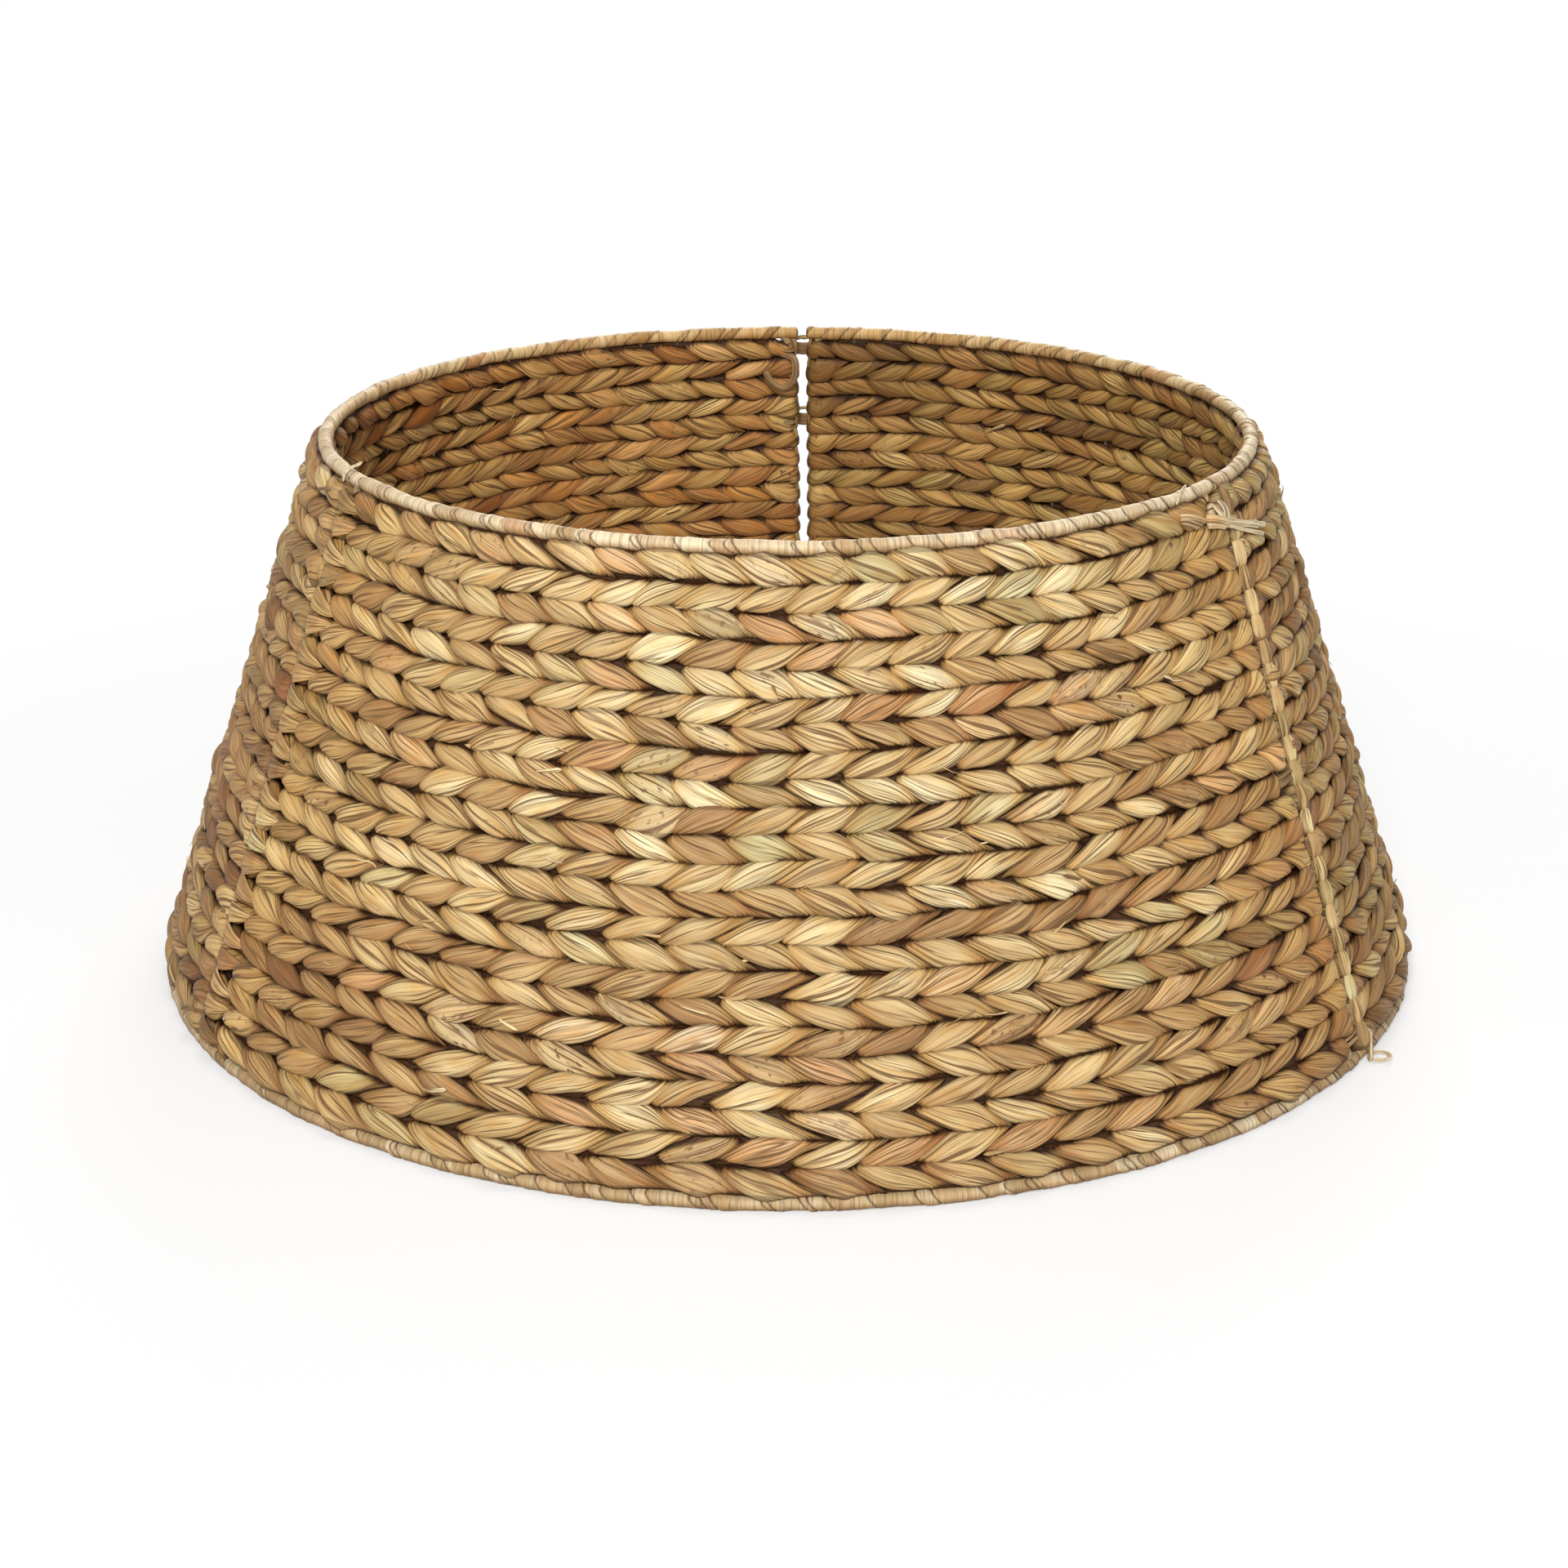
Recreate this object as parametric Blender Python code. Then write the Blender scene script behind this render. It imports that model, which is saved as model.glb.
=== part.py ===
"""Woven collar for the foot of a christmas tree: three straw panels on wire frames, tied together.

The collar is a cone without top or bottom, which stands on the floor round the tree stand. Straw ties
join the side panels to the front panel and let them swing. The rear ties are undone to open the collar.

Units are metres. The origin is on the floor in the middle of the collar, +Z is up, and the front
panel faces -Y. Azimuths turn from the front towards +X.
"""

from dataclasses import dataclass
from math import asin, cos, hypot, pi, radians, sin, tan

import bmesh
import bpy
from mathutils import Matrix, Vector

# Driving dimensions: the cone, measured to the middle of the wires
BASE_WIRE_RADIUS = 0.3237
RIM_WIRE_RADIUS = 0.2320
RIM_WIRE_HEIGHT = 0.2750

# Frame: outline wire, upright stakes and the outline's bent corners
WIRE_DIAMETER = 0.0040
STAKE_DIAMETER = 0.0024
WIRE_BEND_RADIUS = 0.0060

# Straw wound round the rim and base wires, and how deep the floor flattens it
WRAP_THICKNESS = 0.00145
WRAP_FLAT_DEPTH = 0.0005

# Weave: thickness over a row, between two rows, and where the weft turns back round a side wire
CREST_THICKNESS = 0.0150
VALLEY_THICKNESS = 0.0110
EDGE_BEAD_DIAMETER = 0.0130
ROWS = 23
STITCHES = 22

# Seams: free space between the edges of two panels
HINGE_GAP = 0.0010
REAR_GAP = 0.0045
HINGE_OPENING = radians(100)

# Ties: a straw strand wound twice round the wires
STRAND_DIAMETER = 0.0022
STRAND_TURN_GAP = 0.0007
TIE_TURNS = 2
TIE_MIDDLE_SHARE = 0.5
REAR_SECOND_TIE_DROP = 0.0580
TAIL_STANDOFF = 0.0008
TAIL_LENGTH = 0.0260
STUB_LENGTH = 0.0070
LOOP_RADIUS = 0.0045
LOOP_TURN = radians(290)
LOOP_REACH = 0.0090
CURL_DROP = 0.0200
CURL_REACH = 0.0050
CURL_LOW_SHARE = 0.7
CURL_HIGH_SHARE = 0.35
BRIDGE_REACH_SHARE = 0.8
NOTCH_SPARE = 0.0010

# Fit between pieces that touch
CLEARANCE = 0.0003

# Facets
ARC_STEPS = 10
BEND_STEPS = 3
WIRE_SIDES = 6
WRAP_SIDES = 6
STRAND_SIDES = 5
TIE_POINTS = 8
BEAD_ANGLES = (radians(45), 0.0, radians(-45))
GAP_SAMPLES = 8

# Worked out from the above
WIRE_RADIUS = WIRE_DIAMETER / 2
STAKE_RADIUS = STAKE_DIAMETER / 2
STRAND_RADIUS = STRAND_DIAMETER / 2
WRAP_RADIUS = WIRE_RADIUS + CLEARANCE + WRAP_THICKNESS
BASE_WIRE_HEIGHT = WRAP_RADIUS - WRAP_FLAT_DEPTH
SLOPE_OUT = RIM_WIRE_RADIUS - BASE_WIRE_RADIUS
SLOPE_UP = RIM_WIRE_HEIGHT - BASE_WIRE_HEIGHT
SLANT = hypot(SLOPE_OUT, SLOPE_UP)
OUT_SHARE = SLOPE_OUT / SLANT
UP_SHARE = SLOPE_UP / SLANT
HINGE_SPACING = EDGE_BEAD_DIAMETER + HINGE_GAP
REAR_SPACING = EDGE_BEAD_DIAMETER + REAR_GAP
WEAVE_START = WRAP_RADIUS + CLEARANCE
ROW_PITCH = (SLANT - 2 * WEAVE_START) / ROWS

# A strand round a wire stays clear of it between its points too
TURN_RADIUS = (WIRE_RADIUS + CLEARANCE + STRAND_RADIUS) / cos(pi / TIE_POINTS)
TURN_PITCH = STRAND_DIAMETER + STRAND_TURN_GAP
TIE_HEIGHT = TIE_TURNS * TURN_PITCH + STRAND_DIAMETER
NOTCH_HEIGHT = TIE_HEIGHT + 2 * CLEARANCE
TAIL_HEIGHT = CREST_THICKNESS / 2 + CLEARANCE + STRAND_RADIUS + TAIL_STANDOFF

# The notch leaves room for a tie that leans back over the front panel when a side panel is fully open
TIE_LEAN = HINGE_OPENING - pi / 2
NOTCH_DEPTH = (
    (TURN_RADIUS + STRAND_RADIUS) / cos(TIE_LEAN)
    + CREST_THICKNESS / 2 * tan(TIE_LEAN)
    + NOTCH_SPARE
)

TIE_END_PLACE = WIRE_BEND_RADIUS + NOTCH_HEIGHT / 2
HINGE_TIE_PLACES = {
    "top": SLANT - TIE_END_PLACE,
    "middle": SLANT * TIE_MIDDLE_SHARE,
    "bottom": TIE_END_PLACE,
}
REAR_TIE_PLACES = {
    "top": SLANT - TIE_END_PLACE,
    "upper": SLANT - REAR_SECOND_TIE_DROP,
    "bottom": TIE_END_PLACE,
}


@dataclass
class Panel:
    """A third of the collar, between two seams, with the room left for half of each seam."""

    name: str
    low_seam: float
    high_seam: float
    low_room: float
    high_room: float
    low_ties: dict
    high_ties: dict

    def azimuth(self, share, along):
        """Azimuth at a share of the way from the low to the high side wire."""
        radius = radius_at(along)
        low = self.low_seam + asin(self.low_room / radius)
        high = self.high_seam - asin(self.high_room / radius)
        return low + (high - low) * share


FRONT = Panel(
    "front", radians(-60), radians(60), HINGE_SPACING / 2, HINGE_SPACING / 2,
    HINGE_TIE_PLACES, HINGE_TIE_PLACES,
)
LEFT = Panel(
    "left", radians(-180), radians(-60), REAR_SPACING / 2, HINGE_SPACING / 2,
    REAR_TIE_PLACES, HINGE_TIE_PLACES,
)
RIGHT = Panel(
    "right", radians(60), radians(180), HINGE_SPACING / 2, REAR_SPACING / 2,
    HINGE_TIE_PLACES, REAR_TIE_PLACES,
)


# Places on the cone

def radius_at(along):
    """Radius of the cone at a slant distance above the base wire."""
    return BASE_WIRE_RADIUS + OUT_SHARE * along


def outward(azimuth):
    """Unit vector that points out of the cone's surface."""
    return Vector((UP_SHARE * sin(azimuth), -UP_SHARE * cos(azimuth), -OUT_SHARE))


def upslope(azimuth):
    """Unit vector that points up along the cone's surface."""
    return Vector((OUT_SHARE * sin(azimuth), -OUT_SHARE * cos(azimuth), UP_SHARE))


def cone_point(azimuth, along, off=0.0):
    """Point at a slant distance above the base wire, and off the wires' surface."""
    radius = radius_at(along)
    point = Vector((radius * sin(azimuth), -radius * cos(azimuth), BASE_WIRE_HEIGHT + UP_SHARE * along))
    return point + off * outward(azimuth)


def skin(panel, share, along, off=0.0):
    """Point of a panel, which all its pieces share: flat between ARC_STEPS stations."""
    cell = min(max(int(share * ARC_STEPS), 0), ARC_STEPS - 1)
    low = cone_point(panel.azimuth(cell / ARC_STEPS, along), along, off)
    high = cone_point(panel.azimuth((cell + 1) / ARC_STEPS, along), along, off)
    return low.lerp(high, share * ARC_STEPS - cell)


def share_of_length(panel, along, length):
    """Share of a panel's width that a length takes up next to its edge."""
    step = (skin(panel, 0, along) - skin(panel, 1 / ARC_STEPS, along)).length
    return length / (step * ARC_STEPS)


def edge_axes(panel, share):
    """Directions at a side wire: away from the panel, up the wire, and out of the surface."""
    azimuth = panel.high_seam if share else panel.low_seam
    away = Vector((cos(azimuth), sin(azimuth), 0))
    return (away if share else -away), upslope(azimuth), outward(azimuth)


# Mesh helpers

def new_material(name, colour, roughness, metallic=0.0):
    material = bpy.data.materials.new(name)
    material.use_nodes = True
    shader = material.node_tree.nodes["Principled BSDF"]
    shader.inputs["Base Color"].default_value = (*colour, 1)
    shader.inputs["Roughness"].default_value = roughness
    shader.inputs["Metallic"].default_value = metallic
    material.diffuse_color = (*colour, 1)
    return material


def add_skin(mesh, rings, closed=False, cap_faces=None):
    """Quads between rings of equal count, with end caps unless the rings close on themselves.

    A cap is one face, or the faces whose corners cap_faces lists by their place in the ring.
    """
    loops = [[mesh.verts.new(point) for point in ring] for ring in rings]
    following = loops[1:] + loops[:1] if closed else loops[1:]
    for one, other in zip(loops, following):
        for i in range(len(one)):
            j = (i + 1) % len(one)
            mesh.faces.new((one[i], one[j], other[j], other[i]))
    if closed:
        return
    for loop in (loops[0], loops[-1]):
        for corners in cap_faces or [range(len(loop))]:
            mesh.faces.new([loop[corner] for corner in corners])


def add_tube(mesh, path, outs, radius, sides, closed=False):
    """Round tube along a path, its corners turned towards the given outward directions."""
    rings = []
    for i, centre in enumerate(path):
        before = path[i - 1] if closed or i > 0 else centre
        after = path[(i + 1) % len(path)] if closed or i < len(path) - 1 else centre
        heading = (after - before).normalized()
        across = heading.cross(outs[i]).normalized()
        out = across.cross(heading)
        rings.append([
            centre + radius * (cos(turn) * out + sin(turn) * across)
            for turn in (2 * pi * side / sides for side in range(sides))
        ])
    add_skin(mesh, rings, closed)


def carried_outs(path, first_out):
    """Directions square to a free path, carried along it without a twist."""
    outs = [first_out]
    for before, after in zip(path, path[1:]):
        heading = (after - before).normalized()
        outs.append((outs[-1] - heading * outs[-1].dot(heading)).normalized())
    return outs


def new_object(name, mesh, material, smooth_angle=radians(40)):
    bmesh.ops.recalc_face_normals(mesh, faces=mesh.faces)
    data = bpy.data.meshes.new(name)
    mesh.to_mesh(data)
    mesh.free()
    data.materials.append(material)
    data.shade_smooth()
    data.set_sharp_from_angle(angle=smooth_angle)
    piece = bpy.data.objects.new(name, data)
    bpy.context.scene.collection.objects.link(piece)
    return piece


def new_helper(name, mesh):
    """Cutter or second half of a union, which isn't a piece of the collar."""
    helper = new_object(name, mesh, HELPER_MATERIAL)
    helper.hide_render = True
    helper.display_type = "WIRE"
    return helper


def combine(piece, helper, operation):
    modifier = piece.modifiers.new(helper.name, "BOOLEAN")
    modifier.operation = operation
    modifier.solver = "EXACT"
    modifier.object = helper


# Frame: outline wire and stakes

def outline_path(panel):
    """Points (share, along) round the outline wire, with its four corners bent."""
    bends = [
        (1, 0, pi * 1.5), (1, SLANT, 0), (0, SLANT, pi * 0.5), (0, 0, pi),
    ]
    path = []
    for index, (edge, end, first_turn) in enumerate(bends):
        inward = 1 if end == 0 else -1
        for step in range(BEND_STEPS + 1):
            turn = first_turn + pi / 2 * step / BEND_STEPS
            along = end + WIRE_BEND_RADIUS * (inward + sin(turn))
            from_edge = WIRE_BEND_RADIUS * (1 - abs(cos(turn)))
            part = share_of_length(panel, along, from_edge)
            path.append((edge - part if edge else part, along))
        if index == 1:
            path += [(1 - step / ARC_STEPS, SLANT) for step in range(1, ARC_STEPS)]
        if index == 3:
            path += [(step / ARC_STEPS, 0) for step in range(1, ARC_STEPS)]
    return path


def add_outline_wire(mesh, panel, radius):
    path = outline_path(panel)
    points = [skin(panel, share, along) for share, along in path]
    outs = [outward(panel.azimuth(share, along)) for share, along in path]
    add_tube(mesh, points, outs, radius, WIRE_SIDES, closed=True)


def add_stakes(mesh, panel, radius):
    """Straight stakes between the rim and base wires, one between every two stitches."""
    for stake in range(1, STITCHES):
        share = stake / STITCHES
        path = [skin(panel, share, 0), skin(panel, share, SLANT)]
        out = outward(panel.azimuth(share, 0))
        add_tube(mesh, path, [out, out], radius, WIRE_SIDES)


def build_frame(panel):
    outline = bmesh.new()
    add_outline_wire(outline, panel, WIRE_RADIUS)
    frame = new_object(panel.name + "_frame", outline, STEEL)
    stakes = bmesh.new()
    add_stakes(stakes, panel, STAKE_RADIUS)
    combine(frame, new_helper(panel.name + "_stakes", stakes), "UNION")
    return frame


# Weave: rows of twisted weft, hollow round the stakes and side wires

def weave_ring(panel, along, half_thickness, bead_radius):
    """Section of the weave at one height, from edge to edge outside and back inside."""
    offs = [bead_radius] + [half_thickness] * (ARC_STEPS - 1) + [bead_radius]
    outside = [skin(panel, k / ARC_STEPS, along, offs[k]) for k in range(ARC_STEPS + 1)]
    inside = [skin(panel, k / ARC_STEPS, along, -offs[k]) for k in range(ARC_STEPS + 1)]

    def bead(share, turns):
        away, up, out = edge_axes(panel, share)
        centre = skin(panel, share, along)
        return [centre + bead_radius * (cos(turn) * away + sin(turn) * out) for turn in turns]

    low_bead = bead(0, reversed(BEAD_ANGLES))
    high_bead = bead(1, BEAD_ANGLES)
    return outside + high_bead + inside[::-1] + low_bead


def weave_cap_faces():
    """Corners of the faces that close the weave's end: one for each flat, and one at each bead."""
    last_inside = 2 * ARC_STEPS + len(BEAD_ANGLES) + 1
    faces = [(k, k + 1, last_inside - k - 1, last_inside - k) for k in range(ARC_STEPS)]
    faces.append(tuple(range(ARC_STEPS, ARC_STEPS + len(BEAD_ANGLES) + 2)))
    faces.append((*range(last_inside, last_inside + len(BEAD_ANGLES) + 1), 0))
    return faces


def add_notches(mesh, panel):
    """Boxes that free the side wires where the ties go round them."""
    reach = EDGE_BEAD_DIAMETER
    for share, places in ((0, panel.low_ties), (1, panel.high_ties)):
        away, up, out = edge_axes(panel, share)
        for place in places.values():
            centre = skin(panel, share, place)
            rings = []
            for height in (-NOTCH_HEIGHT / 2, NOTCH_HEIGHT / 2):
                rings.append([
                    centre + height * up + side * away + off * out
                    for side, off in (
                        (-NOTCH_DEPTH, -reach), (reach, -reach), (reach, reach), (-NOTCH_DEPTH, reach),
                    )
                ])
            add_skin(mesh, rings)


def build_weave(panel):
    body = bmesh.new()
    rings = []
    for half_row in range(2 * ROWS + 1):
        along = WEAVE_START + ROW_PITCH * half_row / 2
        crest = half_row % 2 == 1
        thickness = CREST_THICKNESS if crest else VALLEY_THICKNESS
        bead = EDGE_BEAD_DIAMETER if crest else VALLEY_THICKNESS
        rings.append(weave_ring(panel, along, thickness / 2, bead / 2))
    add_skin(body, rings, cap_faces=weave_cap_faces())
    weave = new_object(panel.name + "_weave", body, STRAW)

    room = CLEARANCE / cos(pi / WIRE_SIDES)
    stake_holes = bmesh.new()
    add_stakes(stake_holes, panel, STAKE_RADIUS + room)
    combine(weave, new_helper(panel.name + "_stake_holes", stake_holes), "DIFFERENCE")
    wire_hole = bmesh.new()
    add_outline_wire(wire_hole, panel, WIRE_RADIUS + room)
    combine(weave, new_helper(panel.name + "_wire_hole", wire_hole), "DIFFERENCE")
    notches = bmesh.new()
    add_notches(notches, panel)
    combine(weave, new_helper(panel.name + "_tie_notches", notches), "DIFFERENCE")
    return weave


# Wraps: straw round the rim and base wires, open along the stakes

def wrap_ring(panel, share, along, towards_weave):
    """C-shaped section round a wire, its slot towards the weave."""
    azimuth = panel.azimuth(share, along)
    centre = skin(panel, share, along)
    out = outward(azimuth)
    slot_side = upslope(azimuth) * towards_weave
    half_slot = STAKE_RADIUS + CLEARANCE
    slot_turn = asin(half_slot / (WIRE_RADIUS + CLEARANCE))
    half_step = (pi - slot_turn) / WRAP_SIDES
    turns = [slot_turn + 2 * half_step * step for step in range(WRAP_SIDES + 1)]
    bore = (WIRE_RADIUS + CLEARANCE) / cos(half_step)

    def around(radius, turn):
        return centre + radius * (cos(turn) * slot_side + sin(turn) * out)

    return [around(WRAP_RADIUS, turn) for turn in turns] + [around(bore, turn) for turn in turns[::-1]]


def build_wrap(panel, name, along, towards_weave):
    """Wrap between the bent corners of a panel's rim or base wire."""
    end = share_of_length(panel, along, WIRE_BEND_RADIUS)
    shares = [end] + [step / ARC_STEPS for step in range(1, ARC_STEPS)] + [1 - end]
    mesh = bmesh.new()
    add_skin(mesh, [wrap_ring(panel, share, along, towards_weave) for share in shares])
    return new_object(panel.name + name, mesh, WRAP_STRAW)


def build_floor_cutter():
    """Slab under the floor, which flattens the base wraps."""
    reach = BASE_WIRE_RADIUS + CREST_THICKNESS
    depth = CREST_THICKNESS
    mesh = bmesh.new()
    add_skin(mesh, [
        [Vector((x, y, z)) for x, y in ((-reach, -reach), (reach, -reach), (reach, reach), (-reach, reach))]
        for z in (-depth, 0)
    ])
    return new_helper("floor_cutter", mesh)


# Ties: strands wound round the side wires

def wound_points(spacing):
    """Turns round two wires that far apart, or round one wire if the spacing is zero.

    A point is (away from the first wire, up the wires, out of the surface). The turns start inside
    the collar and end outside it, on their way from the first wire to the second.
    """
    half = TIE_POINTS // 2
    round_first = [(0.0, pi * 1.5 - pi * step / half) for step in range(half + 1)]
    round_second = [(spacing, pi * 0.5 - pi * step / half) for step in range(half + 1)]
    if not spacing:
        round_second = round_second[1:-1]
    one_turn = round_first + round_second
    places = one_turn * (TIE_TURNS - 1) + round_first
    if spacing:
        places.append(round_second[0])
    middle = (len(places) - 1) / 2
    return [
        Vector((
            centre + TURN_RADIUS * cos(turn),
            TURN_PITCH * (index - middle) / len(one_turn),
            TURN_RADIUS * sin(turn),
        ))
        for index, (centre, turn) in enumerate(places)
    ]


def straight_tail(start, length):
    """Strand end that climbs out of the notch and lies along the panel."""
    knee = start.x + NOTCH_DEPTH
    return [
        Vector((knee, start.y, TAIL_HEIGHT)),
        Vector((knee + length / 2, start.y + STRAND_RADIUS, TAIL_HEIGHT)),
        Vector((knee + length, start.y - STRAND_RADIUS, TAIL_HEIGHT)),
    ]


def looped_tail(start):
    """Strand end that hangs outside the seam in a small open loop."""
    knee = start.x + NOTCH_DEPTH
    middle = Vector((knee + LOOP_REACH, start.y - LOOP_RADIUS, TAIL_HEIGHT))
    points = [Vector((knee, start.y, TAIL_HEIGHT))]
    for step in range(TIE_POINTS + 1):
        turn = pi / 2 - LOOP_TURN * step / TIE_POINTS
        points.append(middle + LOOP_RADIUS * Vector((cos(turn), sin(turn), 0)))
    return points


def curled_tail(start):
    """Loose strand end that curls down inside the panel, from its free end to the wire."""
    return [
        Vector((-2 * CURL_REACH, start.y - CURL_DROP, -TAIL_HEIGHT)),
        Vector((0, start.y - CURL_DROP * CURL_LOW_SHARE, -TAIL_HEIGHT)),
        Vector((CURL_REACH, start.y - CURL_DROP * CURL_HIGH_SHARE, -TAIL_HEIGHT)),
        Vector((CURL_REACH, start.y - STRAND_RADIUS, -(TAIL_HEIGHT + TURN_RADIUS) / 2)),
    ]


def least_gap(path):
    """Least free space between two stretches of a strand that lie half a turn or more apart."""
    samples = [
        point.lerp(following, sample / GAP_SAMPLES)
        for point, following in zip(path, path[1:])
        for sample in range(GAP_SAMPLES)
    ]
    apart = GAP_SAMPLES * TIE_POINTS // 2
    nearest = min(
        (sample - other).length
        for index, sample in enumerate(samples)
        for other in samples[index + apart:]
    )
    return nearest - STRAND_DIAMETER


def build_tie(name, origin, axes, points):
    away, up, out = axes
    path = [origin + point.x * away + point.y * up + point.z * out for point in points]
    print(f"{name}: least gap to itself {least_gap(path):.5f} m")
    mesh = bmesh.new()
    add_tube(mesh, path, carried_outs(path, up), STRAND_RADIUS, STRAND_SIDES)
    return new_object(name, mesh, TIE_STRAW)


def build_hinge_tie(side, place_name, front_share):
    """Tie round the front panel's side wire and the side panel's wire next to it."""
    place = HINGE_TIE_PLACES[place_name]
    points = wound_points(HINGE_SPACING)
    if side == "right" and place_name == "top":
        points += straight_tail(points[-1], TAIL_LENGTH)
    elif side == "right" and place_name == "bottom":
        points += looped_tail(points[-1])
    else:
        points += straight_tail(points[-1], STUB_LENGTH)
    origin = skin(FRONT, front_share, place)
    return build_tie(f"{side}_hinge_tie_{place_name}", origin, edge_axes(FRONT, front_share), points)


def build_rear_tie(place_name):
    """Tie round the left panel's rear wire, whose end reaches over the gap to the right panel."""
    place = REAR_TIE_PLACES[place_name]
    points = wound_points(0)
    if place_name == "top":
        points = curled_tail(points[0]) + points
    reach = REAR_SPACING * BRIDGE_REACH_SHARE
    bridge_y = points[-1].y
    points += [Vector((reach / 2, bridge_y, TAIL_HEIGHT)), Vector((reach, bridge_y, TAIL_HEIGHT))]
    return build_tie(f"rear_tie_{place_name}", skin(LEFT, 0, place), edge_axes(LEFT, 0), points)


# Assembly

def build_panel(panel, floor_cutter):
    base_wrap = build_wrap(panel, "_base_wrap", 0.0, 1)
    combine(base_wrap, floor_cutter, "DIFFERENCE")
    return [
        build_frame(panel),
        build_weave(panel),
        build_wrap(panel, "_rim_wrap", SLANT, -1),
        base_wrap,
    ]


def new_hinge(name, front_share):
    """Empty on the front panel's side wire, its Z axis along the wire."""
    _, up, out = edge_axes(FRONT, front_share)
    hinge = bpy.data.objects.new(name, None)
    hinge.empty_display_size = HINGE_SPACING
    axes = Matrix((out.cross(up), out, up)).transposed().to_4x4()
    hinge.matrix_world = Matrix.Translation(skin(FRONT, front_share, 0)) @ axes
    bpy.context.scene.collection.objects.link(hinge)
    return hinge


def hang_on(hinge, pieces):
    for piece in pieces:
        piece.parent = hinge
        piece.matrix_parent_inverse = hinge.matrix_world.inverted()


def build_collar():
    floor_cutter = build_floor_cutter()
    build_panel(FRONT, floor_cutter)
    left_pieces = build_panel(LEFT, floor_cutter)
    right_pieces = build_panel(RIGHT, floor_cutter)
    left_pieces += [build_hinge_tie("left", place_name, 0) for place_name in HINGE_TIE_PLACES]
    left_pieces += [build_rear_tie(place_name) for place_name in REAR_TIE_PLACES]
    right_pieces += [build_hinge_tie("right", place_name, 1) for place_name in HINGE_TIE_PLACES]
    hang_on(new_hinge("left_hinge", 0), left_pieces)
    hang_on(new_hinge("right_hinge", 1), right_pieces)


for leftover in list(bpy.data.objects):
    bpy.data.objects.remove(leftover)

STRAW = new_material("woven_hyacinth", (0.50, 0.31, 0.12), 0.7)
WRAP_STRAW = new_material("straw_wrap", (0.62, 0.45, 0.25), 0.75)
TIE_STRAW = new_material("straw_tie", (0.66, 0.52, 0.32), 0.75)
STEEL = new_material("frame_wire", (0.32, 0.31, 0.30), 0.4, 0.9)
HELPER_MATERIAL = new_material("helper", (0.8, 0.1, 0.1), 0.5)

build_collar()
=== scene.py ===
"""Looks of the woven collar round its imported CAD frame.

The weft strands are meshes in bands of three rows, and each wrap and tie is one mesh, all laid on the same
cone as the CAD solids. Of the CAD only the wires show.
Lengths are in metres. The front panel faces -Y, and azimuths turn from there towards +X.
"""

from math import cos, hypot, pi, radians, sin

import bpy
import numpy as np
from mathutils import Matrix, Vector


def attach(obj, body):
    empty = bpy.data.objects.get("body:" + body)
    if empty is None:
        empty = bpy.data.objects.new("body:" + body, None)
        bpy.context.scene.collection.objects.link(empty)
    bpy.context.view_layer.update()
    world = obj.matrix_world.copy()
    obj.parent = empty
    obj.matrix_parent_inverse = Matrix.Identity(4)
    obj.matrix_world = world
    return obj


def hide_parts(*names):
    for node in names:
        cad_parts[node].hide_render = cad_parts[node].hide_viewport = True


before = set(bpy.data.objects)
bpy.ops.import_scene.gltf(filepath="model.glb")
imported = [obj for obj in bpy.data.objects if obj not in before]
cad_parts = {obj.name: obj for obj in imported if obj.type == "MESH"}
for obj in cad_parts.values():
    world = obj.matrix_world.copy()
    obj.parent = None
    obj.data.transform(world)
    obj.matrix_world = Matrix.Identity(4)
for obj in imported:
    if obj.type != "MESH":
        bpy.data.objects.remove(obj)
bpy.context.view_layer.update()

# The cone of the wires, as in the CAD
BASE_RADIUS = 0.3237
RIM_RADIUS = 0.2320
RIM_HEIGHT = 0.2750
BASE_HEIGHT = 0.00325
SLANT = hypot(RIM_RADIUS - BASE_RADIUS, RIM_HEIGHT - BASE_HEIGHT)
OUT_SHARE = (RIM_RADIUS - BASE_RADIUS) / SLANT
UP_SHARE = (RIM_HEIGHT - BASE_HEIGHT) / SLANT

# Weave
ROWS = 23
BAND = 3
STITCHES = 22
WRAP_RADIUS = 0.00375
WEAVE_START = 0.00405
ROW_PITCH = (SLANT - 2 * WEAVE_START) / ROWS
HINGE_ROOM = 0.0070
REAR_ROOM = 0.00875

# Twist and shape of a row's two weft strands, and the slant of the borders between its leaves
TWIST_RADIUS = 0.0033
TWIST_WARP = 0.34
TWIST_HOLD = 0.24
TILE_SHARE = 0.20
SHIFT_SPREAD, SHIFT_MOST = 0.34, 0.62
ROW_FLATTENING = 0.97
LEAF_SLANT = 0.55
SLANT_DEPTH = 0.0045
STRAND_HALF_WIDTH = 0.0078
CROSS_SHARE = 0.65
STRAND_OUTER = 0.0039
STRAND_INNER = 0.0030
STRAND_BOW = 0.0010
LEAF_EDGE = 0.25
EDGE_TURN = 0.0041
EDGE_HALF_THICKNESS = 0.0021
STRAND_GIRTH = 2 * pi * 0.0050
CORE_HALF_WIDTH = 0.0074
CORE_HALF_THICKNESS = 0.0026
ROW_NUDGE = 0.0004
PINCH = {"front": 0.34, "left": 0.62}
PINCH_FROM, PINCH_TO = 0.0050, 0.0090
ROW_SWAY, ROW_RIPPLE = 0.00055, 0.00020

# How leaves differ in width, thickness, lift, push and roll: mean, spread, least and most
LEAF_VARIETY = (
    (1.01, 0.15, 0.80, 1.32), (1.0, 0.13, 0.75, 1.25), (0.0, 0.00070, -0.0015, 0.0015),
    (0.0, 0.00040, -0.0009, 0.0009), (0.0, 0.20, -0.4, 0.4),
)

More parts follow.
